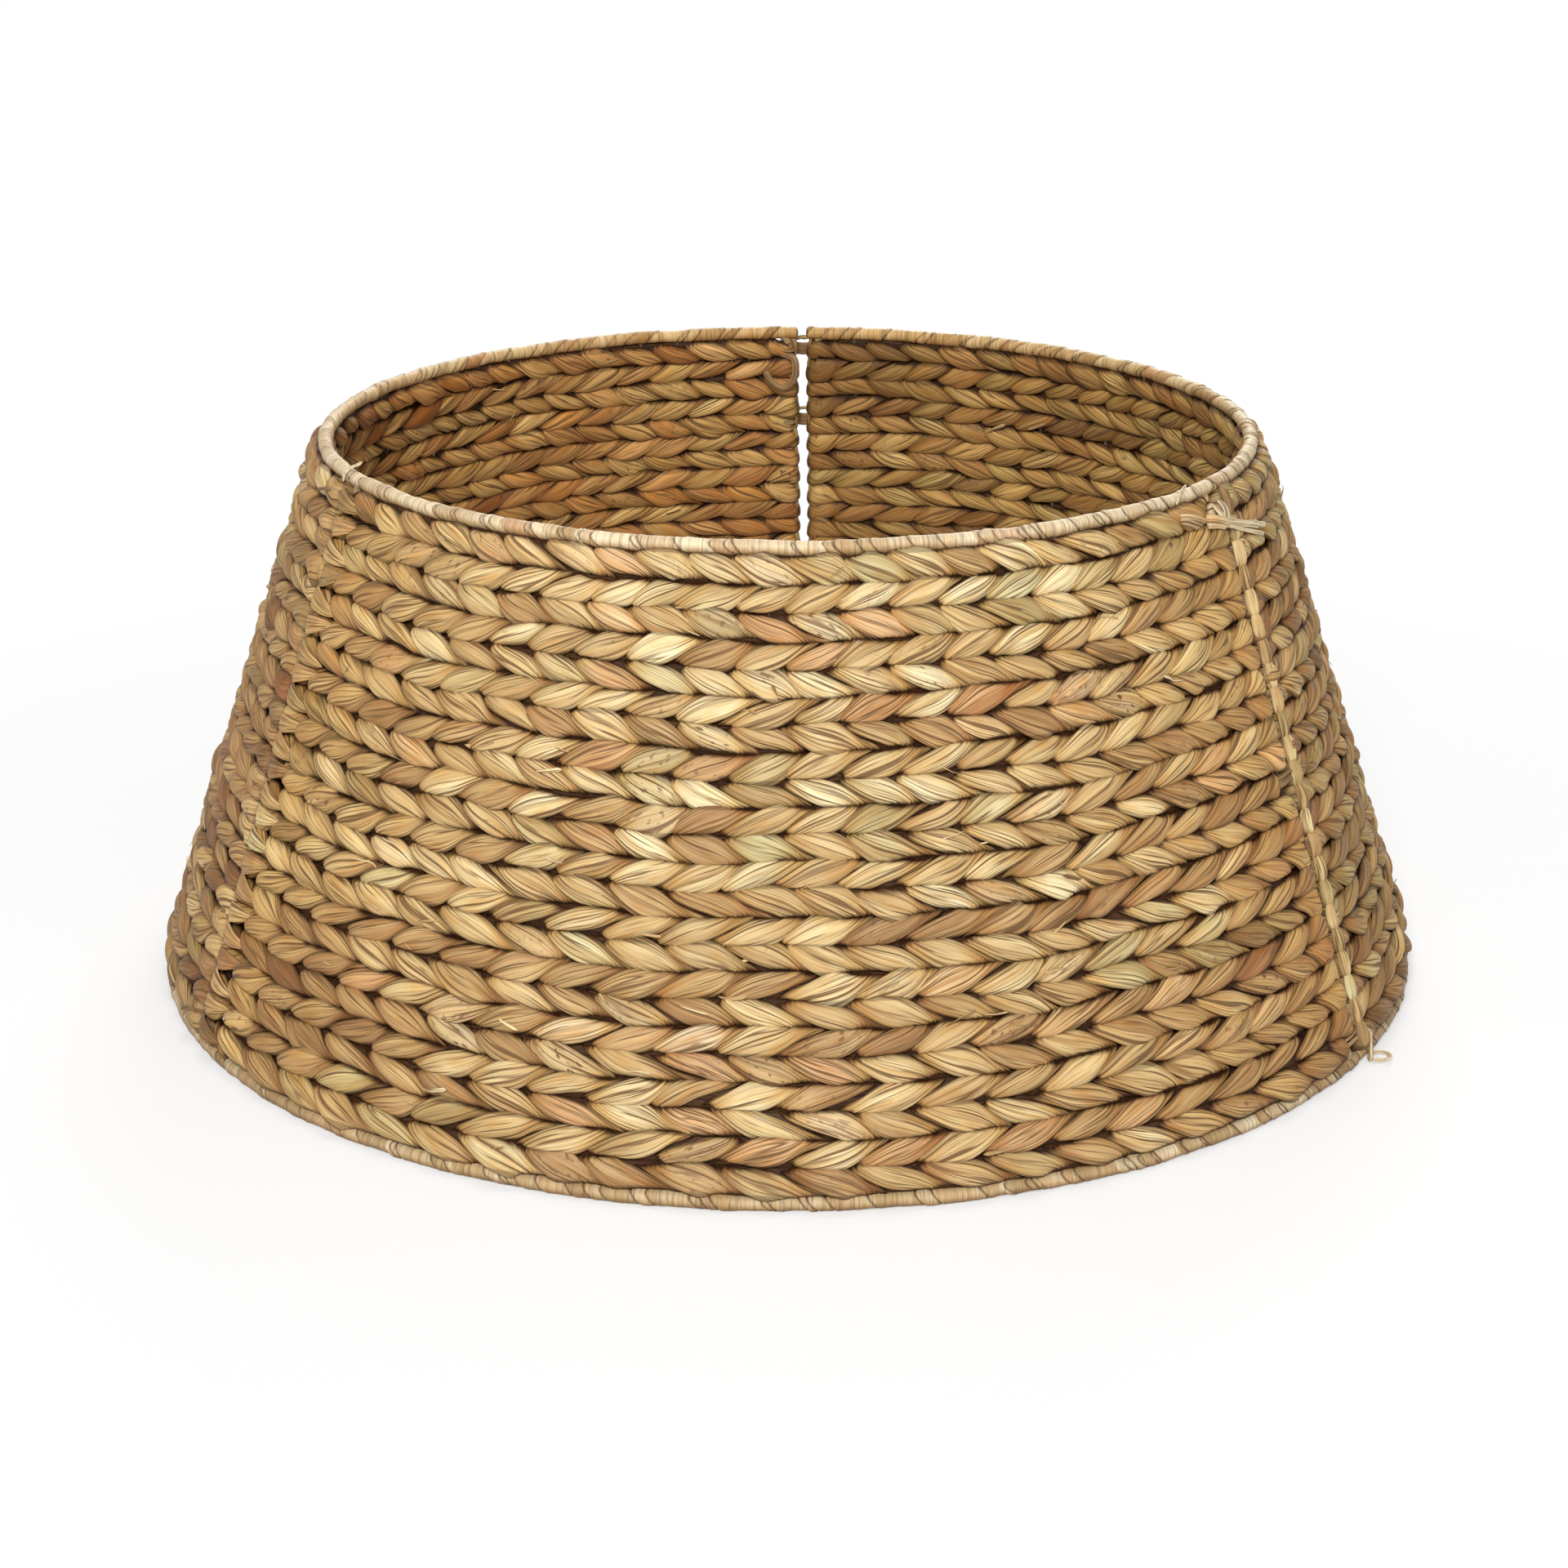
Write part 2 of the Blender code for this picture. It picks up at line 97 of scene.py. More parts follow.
# Mesh steps in a stitch, round a strand, in the turn at a row's end and along other straws, and atlas room
STEPS_ALONG = 16
STEPS_ROUND = 22
TURN_STEPS = 12
STRIP_ROOM = 1.08
PATH_STEP, FINE_STEP = 0.0006, 0.0005

# Wraps and ties
BEND_RADIUS = 0.0060
WRAP_OVERHANG = 0.0065
WRAP_STEP = 0.0005
WRAP_SIDES = 24
WRAP_LEAN = 0.0045
TURN_RADIUS = 0.00368
TURN_PITCH = 0.0029
TAIL_HEIGHT = 0.0088
TIE_END_PLACE = 0.0103
TIE_HALF_THICKNESS = 0.0008
STRIP_WIDTHS = (0.0042, 0.0065, 0.009, 0.013, 0.019)

# Channels of a mesh's tints; the fourth is painted shade, 1 for none, the fifth painted warm bounce light,
# and the sixth says where a painted shade line falls between rows
TONE, HUE, STAIN, PAINTED_SHADE, BOUNCE_TINT, BORDER = range(6)

# A panel's seams and its room beside them, low and high
PANELS = {
    "front": (radians(-60), radians(60), HINGE_ROOM, HINGE_ROOM),
    "left": (radians(-180), radians(-60), REAR_ROOM, HINGE_ROOM),
    "right": (radians(60), radians(180), HINGE_ROOM, REAR_ROOM),
}

# Rows that ties go round at the (low, high) side wire
TIED_ROWS = {"front": ((1, 12, 23), (1, 12, 23)), "left": ((1, 5, 23), ()), "right": ((), ())}


# Places on the cone

def radius_at(along):
    return BASE_RADIUS + OUT_SHARE * along


def azimuth_at(panel, share, along):
    low_seam, high_seam, low_room, high_room = PANELS[panel]
    radius = radius_at(along)
    low = low_seam + np.arcsin(low_room / radius)
    high = high_seam - np.arcsin(high_room / radius)
    return low + (high - low) * share


def cone_points(azimuth, along, off):
    """Points at an azimuth, a slant distance above the base wire and a distance out of the cone."""
    reach = radius_at(along) + UP_SHARE * off
    height = BASE_HEIGHT + UP_SHARE * along - OUT_SHARE * off
    return np.stack([reach * np.sin(azimuth), -reach * np.cos(azimuth), height], axis=-1)


def panel_width(panel, along):
    return radius_at(along) * (azimuth_at(panel, 1.0, along) - azimuth_at(panel, 0.0, along))


def near_edge(panel, high, path):
    """Points given as (distance into the panel from its side wire, along, off)."""
    inward, along, off = np.asarray(path, dtype=float).T
    share = inward / panel_width(panel, along)
    return cone_points(azimuth_at(panel, 1 - share if high else share, along), along, off)


# Mesh helpers

def unit(vectors):
    return vectors / np.maximum(np.linalg.norm(vectors, axis=-1, keepdims=True), 1e-12)


def wander(rng, places, wavelength, amount):
    """Smooth seeded noise over places, its longest waves about one wavelength long."""
    total = np.zeros_like(places, dtype=float)
    for share, weight in ((1.0, 0.6), (0.57, 0.35), (0.31, 0.2)):
        turn, drift = rng.uniform(0, 2 * pi), rng.uniform(0.85, 1.15)
        total += weight * np.sin(places * 2 * pi * drift / (wavelength * share) + turn)
    return amount * total


def eased(values, places, mode="wrap"):
    """Values at whole numbers, joined smoothly in between, and wrapped or clipped beyond the last."""
    low = np.floor(places).astype(int)
    part = places - low
    part = part * part * (3 - 2 * part)
    return np.take(values, low, mode=mode) * (1 - part) + np.take(values, low + 1, mode=mode) * part


def placed(name, data):
    made = bpy.data.objects.new(name, data)
    bpy.context.scene.collection.objects.link(made)
    return made


class Skin:
    """Quads between rings, gathered from many strands into one mesh with its maps and tints."""

    def __init__(self):
        self.points, self.faces, self.fibre, self.tint, self.strips = [], [], [], [], []
        self.count = 0

    def add(self, rings, tint, closed, lengths, girth):
        """rings is (rings, sides, 3), tint (rings, sides, 6), lengths the distance run at each ring."""
        n, m = rings.shape[:2]
        spans = n if closed else n - 1
        i = np.arange(spans)[:, None]
        j = np.arange(m)
        ni, nj = (i + 1) % n, (j + 1) % m
        corners = np.stack([i * m + j, i * m + nj, ni * m + nj, ni * m + j], axis=-1)
        self.points.append(rings.reshape(-1, 3))
        self.tint.append(tint.reshape(-1, 6))
        self.faces.append(corners.reshape(-1, 4) + self.count)
        self.count += n * m
        start = lengths[:spans]
        end = np.append(lengths, lengths[-1] + (lengths[-1] - lengths[-2]))[1:spans + 1]
        grid = np.zeros((spans, m, 4, 2))
        grid[..., :2, 0] = start[:, None, None]
        grid[..., 2:, 0] = end[:, None, None]
        grid[..., 0, 1] = grid[..., 3, 1] = j / m * girth
        grid[..., 1, 1] = grid[..., 2, 1] = (j + 1) / m * girth
        self.fibre.append((grid + np.array([7.3 * len(self.strips), 0])).reshape(-1, 2))
        self.strips.append((start, end, grid, girth))

    def lay_atlas(self):
        """Cuts the strands into strips of one length and stacks them into a square."""
        total = sum(end[-1] * girth * STRIP_ROOM for _, end, _, girth in self.strips)
        side = total ** 0.5 * 1.02
        while True:
            height, laid = 0.0, []
            for start, end, grid, girth in self.strips:
                pieces = max(1, int(np.ceil(end[-1] / side)))
                strip = end[-1] / pieces
                index = np.minimum((start / strip + 1e-6).astype(int), pieces - 1)
                first = np.array([start[index == k][0] for k in range(pieces)])
                uv = grid.copy()
                uv[..., 0] -= first[index][:, None, None]
                uv[..., 1] += (height + index * girth * STRIP_ROOM)[:, None, None]
                laid.append(uv.reshape(-1, 2))
                height += pieces * girth * STRIP_ROOM
            widest = max(float(uv[:, 0].max()) for uv in laid)
            if height <= side and widest <= side:
                break
            side = max(side * 1.01, min(widest, side * 1.05))
        return np.concatenate(laid) / side * 0.996 + 0.002

    def make(self, name, material):
        points = np.concatenate(self.points)
        faces = np.concatenate(self.faces)
        mesh = bpy.data.meshes.new(name)
        mesh.vertices.add(len(points))
        mesh.vertices.foreach_set("co", points.astype(np.float32).ravel())
        mesh.loops.add(faces.size)
        mesh.loops.foreach_set("vertex_index", faces.astype(np.int32).ravel())
        mesh.polygons.add(len(faces))
        mesh.polygons.foreach_set("loop_start", np.arange(0, faces.size, 4, dtype=np.int32))
        mesh.polygons.foreach_set("use_smooth", np.ones(len(faces), dtype=bool))
        for layer, places in (("OFBake", self.lay_atlas()), ("Fibre", np.concatenate(self.fibre))):
            mesh.uv_layers.new(name=layer).uv.foreach_set("vector", places.astype(np.float32).ravel())
        tints = np.concatenate(self.tint).astype(np.float32)
        straw = mesh.attributes.new("straw", "FLOAT_COLOR", "POINT")
        straw.data.foreach_set("color", tints[:, :4].ravel())
        for channel, layer in ((BOUNCE_TINT, "inside"), (BORDER, "border")):
            values = mesh.attributes.new(layer, "FLOAT", "POINT")
            values.data.foreach_set("value", tints[:, channel].copy())
        mesh.materials.append(material)
        mesh.update()
        mesh.validate()
        return placed(name, mesh)


def sections(centres, outs, half_width, outer, inner, bow, sides, closed, relief):
    """Leaf-shaped rings across a path: outs point out of the outer face, and bow bends the edges back."""
    if closed:
        along = np.roll(centres, -1, 0) - np.roll(centres, 1, 0)
    else:
        along = np.gradient(centres, axis=0)
    along = unit(along)
    outs = unit(outs - along * (outs * along).sum(1, keepdims=True))
    across = np.cross(along, outs)
    turn = np.arange(sides) * 2 * pi / sides
    side, face = np.sin(turn), np.cos(turn)
    leaf = face * np.abs(face) ** LEAF_EDGE
    thickness = np.where(leaf > 0, outer[:, None], inner[:, None])
    rings = (
        centres[:, None, :]
        + (half_width[:, None] * side)[..., None] * across[:, None, :]
        + (thickness * leaf - bow[:, None] * side ** 2)[..., None] * outs[:, None, :]
    )
    normal = (
        (thickness * side)[..., None] * across[:, None, :]
        + (half_width[:, None] * face)[..., None] * outs[:, None, :]
    )
    return rings + unit(normal) * relief[..., None]


def run_of(points):
    """Distance run along a path at each of its points."""
    return np.concatenate([[0.0], np.cumsum(np.linalg.norm(np.diff(points, axis=0), axis=1))])


def smooth_path(points, step):
    """Evenly spaced points on a smooth curve through the given ones."""
    points = np.asarray(points, dtype=float)
    padded = np.concatenate([[2 * points[0] - points[1]], points, [2 * points[-1] - points[-2]]])
    part = np.linspace(0, 1, 12, endpoint=False)[:, None]
    curve = []
    for a, b, c, d in zip(padded, padded[1:], padded[2:], padded[3:]):
        bend = (2 * a - 5 * b + 4 * c - d) * part ** 2 + (3 * b - a - 3 * c + d) * part ** 3
        curve.append((2 * b + (c - a) * part + bend) / 2)
    curve = np.concatenate([*curve, points[-1:]])
    run = run_of(curve)
    places = np.linspace(0, run[-1], max(5, int(run[-1] / step) + 1))
    return np.stack([np.interp(places, run, curve[:, axis]) for axis in range(3)], axis=-1)


def edge_path(panel, high, along, route, step=PATH_STEP):
    """Smooth path by a side wire, through points given as (into the panel, up from along, off)."""
    return smooth_path(near_edge(panel, high, [(x, along + y, z) for x, y, z in route]), step)


def add_strand(
    skin, path, half_width, half_thickness, rng, first_out, tint, sides, depth=0.00007, shade=1.0,
):
    """A straw along a path in space, drawn in at both ends. tint is (tone, hue), or with painted warm bounce
    light after them, and shade is painted shade, 1 for none.
    """
    taper = 0.0012
    run = run_of(path)
    outs = [np.asarray(first_out, dtype=float)]
    heading = unit(np.gradient(path, axis=0))
    for direction in heading:
        outs.append(unit(outs[-1] - direction * np.dot(outs[-1], direction)))
    fade = np.minimum(run, run[-1] - run) / taper
    fade = np.sqrt(1 - (1 - fade.clip(0.02, 1)) ** 2)
    half_width, half_thickness = half_width * fade, half_thickness * fade
    relief = fibre_relief(rng, run, sides, depth) * fade[:, None]
    flat = np.zeros(len(path))
    facing = np.array(outs[1:])
    rings = sections(path, facing, half_width, half_thickness, half_thickness, flat, sides, False, relief)
    colour = np.zeros((*rings.shape[:2], 6))
    colour[..., TONE] = (tint[0] + wander(rng, run, 0.02, 0.06))[:, None]
    colour[..., HUE] = tint[1]
    colour[..., PAINTED_SHADE] = shade
    colour[..., BOUNCE_TINT] = sum(tint[2:])
    skin.add(rings, colour.clip(0, 1), False, run, pi * (half_width.max() + half_thickness.max()))


def fibre_relief(rng, run, sides, depth):
    """Lengthwise ribs and a few sharp folds of a dried stalk, over rings and sides."""
    turn = np.arange(sides) * 2 * pi / sides
    run = run[:, None]
    total = np.zeros((run.shape[0], sides))
    for ribs, share in ((2, 0.45), (3, 0.4), (5, 0.45), (7, 0.45), (9, 0.4)):
        lean, phase = rng.uniform(-18, 18), rng.uniform(0, 2 * pi)
        swell = 0.6 + 0.4 * np.sin(run * rng.uniform(60, 140) + rng.uniform(0, 6))
        total += share * swell * np.cos(ribs * turn + lean * run + phase)
    for _ in range(7):
        place = rng.uniform(0, 2 * pi) + 0.35 * np.sin(run * rng.uniform(20, 60) + rng.uniform(0, 6))
        gap = np.angle(np.exp(1j * (turn - place)))
        gate = np.clip(np.sin(run * rng.uniform(50, 150) + rng.uniform(0, 6)) * 1.8, 0, 1)
        total -= 2.6 * gate * np.exp(-(gap / 0.19) ** 2)
    return total * depth


# Materials

def new_material(name, roughness, metallic=0.0):
    material = bpy.data.materials.new(name)
    material.use_nodes = True
    tree = material.node_tree
    shader = tree.nodes["Principled BSDF"]
    shader.inputs["Roughness"].default_value = roughness
    shader.inputs["Metallic"].default_value = metallic
    return material, tree, shader


def node(tree, kind, **values):
    made = tree.nodes.new(kind)
    for key, value in values.items():
        if hasattr(made, key):
            setattr(made, key, value)
        else:
            made.inputs[key.replace("_", " ")].default_value = value
    return made


def link(tree, source, target):
    tree.links.new(source, target)


def ramp(tree, stops, source):
    made = tree.nodes.new("ShaderNodeValToRGB")
    elements = made.color_ramp.elements
    while len(elements) < len(stops):
        elements.new(0.5)
    for element, (place, colour) in zip(elements, stops):
        element.position = place
        element.color = (*colour, 1)
    link(tree, source, made.inputs["Fac"])
    return made.outputs["Color"]


def mixed(tree, share, one, other, blend="MIX"):
    made = tree.nodes.new("ShaderNodeMix")
    made.data_type = "RGBA"
    made.blend_type = blend
    for source, slot in ((share, 0), (one, 6), (other, 7)):
        if isinstance(source, float):
            made.inputs[slot].default_value = source
        elif isinstance(source, tuple):
            made.inputs[slot].default_value = (*source, 1)
        else:
            link(tree, source, made.inputs[slot])
    return made.outputs[2]


def maths(tree, operation, *sources):
    made = node(tree, "ShaderNodeMath", operation=operation)
    for source, slot in zip(sources, made.inputs):
        if isinstance(source, float):
            slot.default_value = source
        else:
            link(tree, source, slot)
    return made.outputs[0]


def painted(tree, layer):
    """A value that the mesh holds at its points."""
    return node(tree, "ShaderNodeAttribute", attribute_name=layer).outputs["Fac"]


def span(tree, source, from_low, from_high, to_low=0.0, to_high=1.0):
    ends = {"From_Min": from_low, "From_Max": from_high, "To_Min": to_low, "To_Max": to_high}
    made = node(tree, "ShaderNodeMapRange", **ends)
    link(tree, source, made.inputs["Value"])
    return made.outputs["Result"]


def noise(tree, vector, scale, detail, roughness=0.5, distortion=0.0):
    looks = {"Scale": scale, "Detail": detail, "Roughness": roughness, "Distortion": distortion}
    made = node(tree, "ShaderNodeTexNoise", **looks)
    link(tree, vector, made.inputs["Vector"])
    return made.outputs["Fac"]


def stretched(tree, source, scale):
    made = node(tree, "ShaderNodeMapping", Scale=scale)
    link(tree, source, made.inputs["Vector"])
    return made.outputs["Vector"]


# Stops of the mottling along a stalk and of its fine streaks
PATCHES = [(0.32, (0.93, 0.79, 0.62)), (0.5, (1, 1, 1)), (0.68, (1.05, 1.09, 1.14))]
STREAKS = [(0.33, (0.58, 0.49, 0.37)), (0.46, (0.95, 0.93, 0.89)), (0.66, (1.22, 1.22, 1.19))]

# Colours that multiply a straw's tone, the golden one as painted warm bounce light in shaded places, colours
# mixed into it, the last a painted shade line between rows, and the painted shade deep in its crevices
WARM, ORANGE = (0.97, 0.80, 0.80), (0.98, 0.72, 0.48)
GREY, BOUNCE_GOLDEN = (0.78, 0.85, 0.82), (1.02, 0.86, 0.58)
LINE, SPECK = (0.15, 0.075, 0.027), (0.12, 0.05, 0.02)
SMEAR, ROW_GAP_SHADE = (0.26, 0.14, 0.07), (0.05, 0.024, 0.009)
CREVICE_SHADE = (0.085, 0.040, 0.011)


def straw_material(name, tones, streak_scale, roughness, bump_depth, spots=True, lined=1.0, across=False):
    """Dried straw. The tint's red picks the tone, green the hue, blue the stains, alpha the painted crevice
    shade.
    """
    material, tree, shader = new_material(name, roughness)
    fibre = node(tree, "ShaderNodeUVMap", uv_map="Fibre").outputs["UV"]
    tint = node(tree, "ShaderNodeAttribute", attribute_name="straw")
    parts = tree.nodes.new("ShaderNodeSeparateColor")
    link(tree, tint.outputs["Color"], parts.inputs["Color"])
    tone, hue, stain = parts.outputs

    def streaked(*values):
        return stretched(tree, fibre, (values[1], values[0], 1) if across else (*values, 1))

    coarse = noise(tree, streaked(18, 160), 1.0, 2.0)
    fine = noise(tree, streaked(*streak_scale), 1.0, 3.0, 0.6)
    lines = noise(tree, streaked(24, 700), 1.0, 2.0, 0.5, 0.2)
    waves = noise(tree, streaked(12, 260), 1.0, 1.0, 0.4)
    mottle = noise(tree, streaked(75, 170), 1.0, 2.0)

    colour = ramp(tree, tones, maths(tree, "ADD", tone, span(tree, coarse, 0.3, 0.7, -0.16, 0.16)))
    colour = mixed(tree, 0.85 * lined, colour, ramp(tree, PATCHES, mottle), "MULTIPLY")
    warm, orange, grey = (mixed(tree, 1.0, colour, other, "MULTIPLY") for other in (WARM, ORANGE, GREY))
    colour = mixed(tree, span(tree, hue, 0.60, 0.80), colour, warm)
    colour = mixed(tree, span(tree, hue, 0.80, 1.0), colour, orange)
    colour = mixed(tree, span(tree, hue, 0.32, 0.08), colour, grey)
    # Painted warm bounce light, mixed in where the mesh's inside value marks inner faces, leaf tips and sides
    bounce_golden = mixed(tree, 1.0, colour, BOUNCE_GOLDEN, "MULTIPLY")
    colour = mixed(tree, painted(tree, "inside"), colour, bounce_golden)
    colour = mixed(tree, 0.9 * lined, colour, ramp(tree, STREAKS, fine), "MULTIPLY")

    size = maths(tree, "ABSOLUTE", maths(tree, "SUBTRACT", waves, 0.5))
    crease = span(tree, size, 0.005, 0.026, 1.0, 0.0)
    crease = maths(tree, "MULTIPLY", crease, span(tree, coarse, 0.36, 0.62, 0.15, 1.0))
    scored = maths(tree, "MAXIMUM", crease, span(tree, lines, 0.565, 0.625))
    dark = span(tree, scored, 0.0, 1.0, 0.0, 0.92 * lined)
    colour = mixed(tree, dark, colour, LINE)
    if spots:
        speck = noise(tree, stretched(tree, fibre, (330, 420, 1)), 1.0, 1.0)
        more = maths(tree, "MULTIPLY", span(tree, speck, 0.60, 0.68), stain)
        colour = mixed(tree, more, colour, SPECK)
        smear = maths(tree, "MULTIPLY", span(tree, coarse, 0.45, 0.62, 0.0, 0.55), stain)
        colour = mixed(tree, smear, colour, SMEAR)
    # Painted shade: the tint's alpha darkens the straw towards the darkest colour, deep in its crevices
    shade = tree.nodes.new("ShaderNodeCombineColor")
    for channel, darkest in enumerate(CREVICE_SHADE):
        link(tree, span(tree, tint.outputs["Alpha"], 0.0, 1.0, darkest, 1.0), shade.inputs[channel])
    colour = mixed(tree, 1.0, colour, shade.outputs["Color"], "MULTIPLY")
    # Painted shade line along the borders between rows
    border = span(tree, painted(tree, "border"), 0.94, 1.04, 0.0, 0.45)
    colour = mixed(tree, border, colour, ROW_GAP_SHADE)
    link(tree, colour, shader.inputs["Base Color"])

    bump = node(tree, "ShaderNodeBump", Strength=0.8, Distance=bump_depth)
    link(tree, maths(tree, "SUBTRACT", fine, dark), bump.inputs["Height"])
    link(tree, bump.outputs["Normal"], shader.inputs["Normal"])
    link(tree, span(tree, fine, 0.3, 0.7, roughness - 0.08, roughness + 0.1), shader.inputs["Roughness"])
    shader.inputs["Specular IOR Level"].default_value = 0.22
    return material


WEAVE_TONES = [
    (0.0, (0.246, 0.127, 0.055)), (0.28, (0.404, 0.243, 0.110)), (0.55, (0.549, 0.379, 0.177)),
    (0.80, (0.686, 0.525, 0.277)), (1.0, (0.806, 0.690, 0.430)),
]
WRAP_TONES = [(0.0, (0.270, 0.160, 0.070)), (0.5, (0.510, 0.350, 0.180)), (1.0, (0.800, 0.670, 0.460))]
WEAVE_STRAW = straw_material("woven_hyacinth", WEAVE_TONES, (26, 1100), 0.60, 0.0003)
WRAP_STRAW = straw_material("wound_straw", WRAP_TONES, (30, 900), 0.5, 0.0002, False, 0.5, True)
TIE_STRAW = straw_material("tie_straw", WRAP_TONES, (40, 1600), 0.6, 0.0002, False, 0.8)


# Each panel's straw: tone and hue, the left panel's lower tone being partly painted shade, how its inner face
# shifts in both as painted light and shade, how much paler it is round the low side wire, and how much
# painted warm bounce light it gets towards the front panel's side wires and over the whole side panels, where
# SIDE_DARKNESS paints shade too. Leaves at the (low, high) side wire are a fan over the first stitch, a
# corner round the wire, or beside it.
# Painted crevice shade is darkest up to DARK_BELOW of a row's depth, and clear DARK_SPAN further out.
INNER_HUE = {"front": 0.10, "left": 0.22, "right": 0.05}
SEAM_PALENESS = {"front": 0.10, "left": 0.0, "right": 0.20}
PANEL_TONE = {"front": 0.66, "left": 0.53, "right": 0.66}
PANEL_HUE = {"front": 0.44, "left": 0.40, "right": 0.23}
INNER_TONE = {"front": 0.0, "left": 0.18, "right": -0.07}
SIDE_BOUNCE_WARMTH = {"front": 0.80, "left": 0.30, "right": 0.42}
SIDE_DARKNESS = 0.17
STAIN_SHARE = 0.14
DARK_BELOW, DARK_SPAN = 0.41, 0.16
EDGE_LEAVES = {"front": ("fan", ""), "left": ("beside", ""), "right": ("corner", "beside")}


# Weave

def twist(stitch, lean, strand, uneven):
    """Centre (up, out) and outward direction of a strand at places counted in stitches."""
    phase = pi * stitch - TWIST_WARP / 2 * np.sin(2 * pi * stitch) + pi * strand + uneven(stitch)
    up = lean * TWIST_RADIUS * np.sin(phase)
    out = TWIST_RADIUS * (np.cos(phase) - TILE_SHARE * np.sin(2 * phase))
    turned = phase - TWIST_HOLD * np.sin(2 * phase)
    facing = np.stack([np.zeros_like(stitch), lean * np.sin(turned), np.cos(turned)], axis=-1)
    return up, out, facing, np.cos(phase) ** 2


def slant_of(lean, up, out):
    """Shift along the row that slants the borders between leaves, one way in front and the other behind."""
    return LEAF_SLANT * lean * up * (out / SLANT_DEPTH).clip(-1, 1)


def pinch_row(rings, tied_low, tied_high, width, pinch):
    """Draws a row's end in round the side wire, where a tie goes round it."""
    for tied, inward, sign in ((tied_low, rings[..., 0], 1), (tied_high, width - rings[..., 0], -1)):
        if tied:
            part = ((inward - PINCH_FROM) / (PINCH_TO - PINCH_FROM)).clip(0, 1)
            rings[..., 2] *= pinch + (1 - pinch) * part * part * (3 - 2 * part)
            rings[..., 0] -= sign * (1 - pinch) * np.minimum(inward, 0)


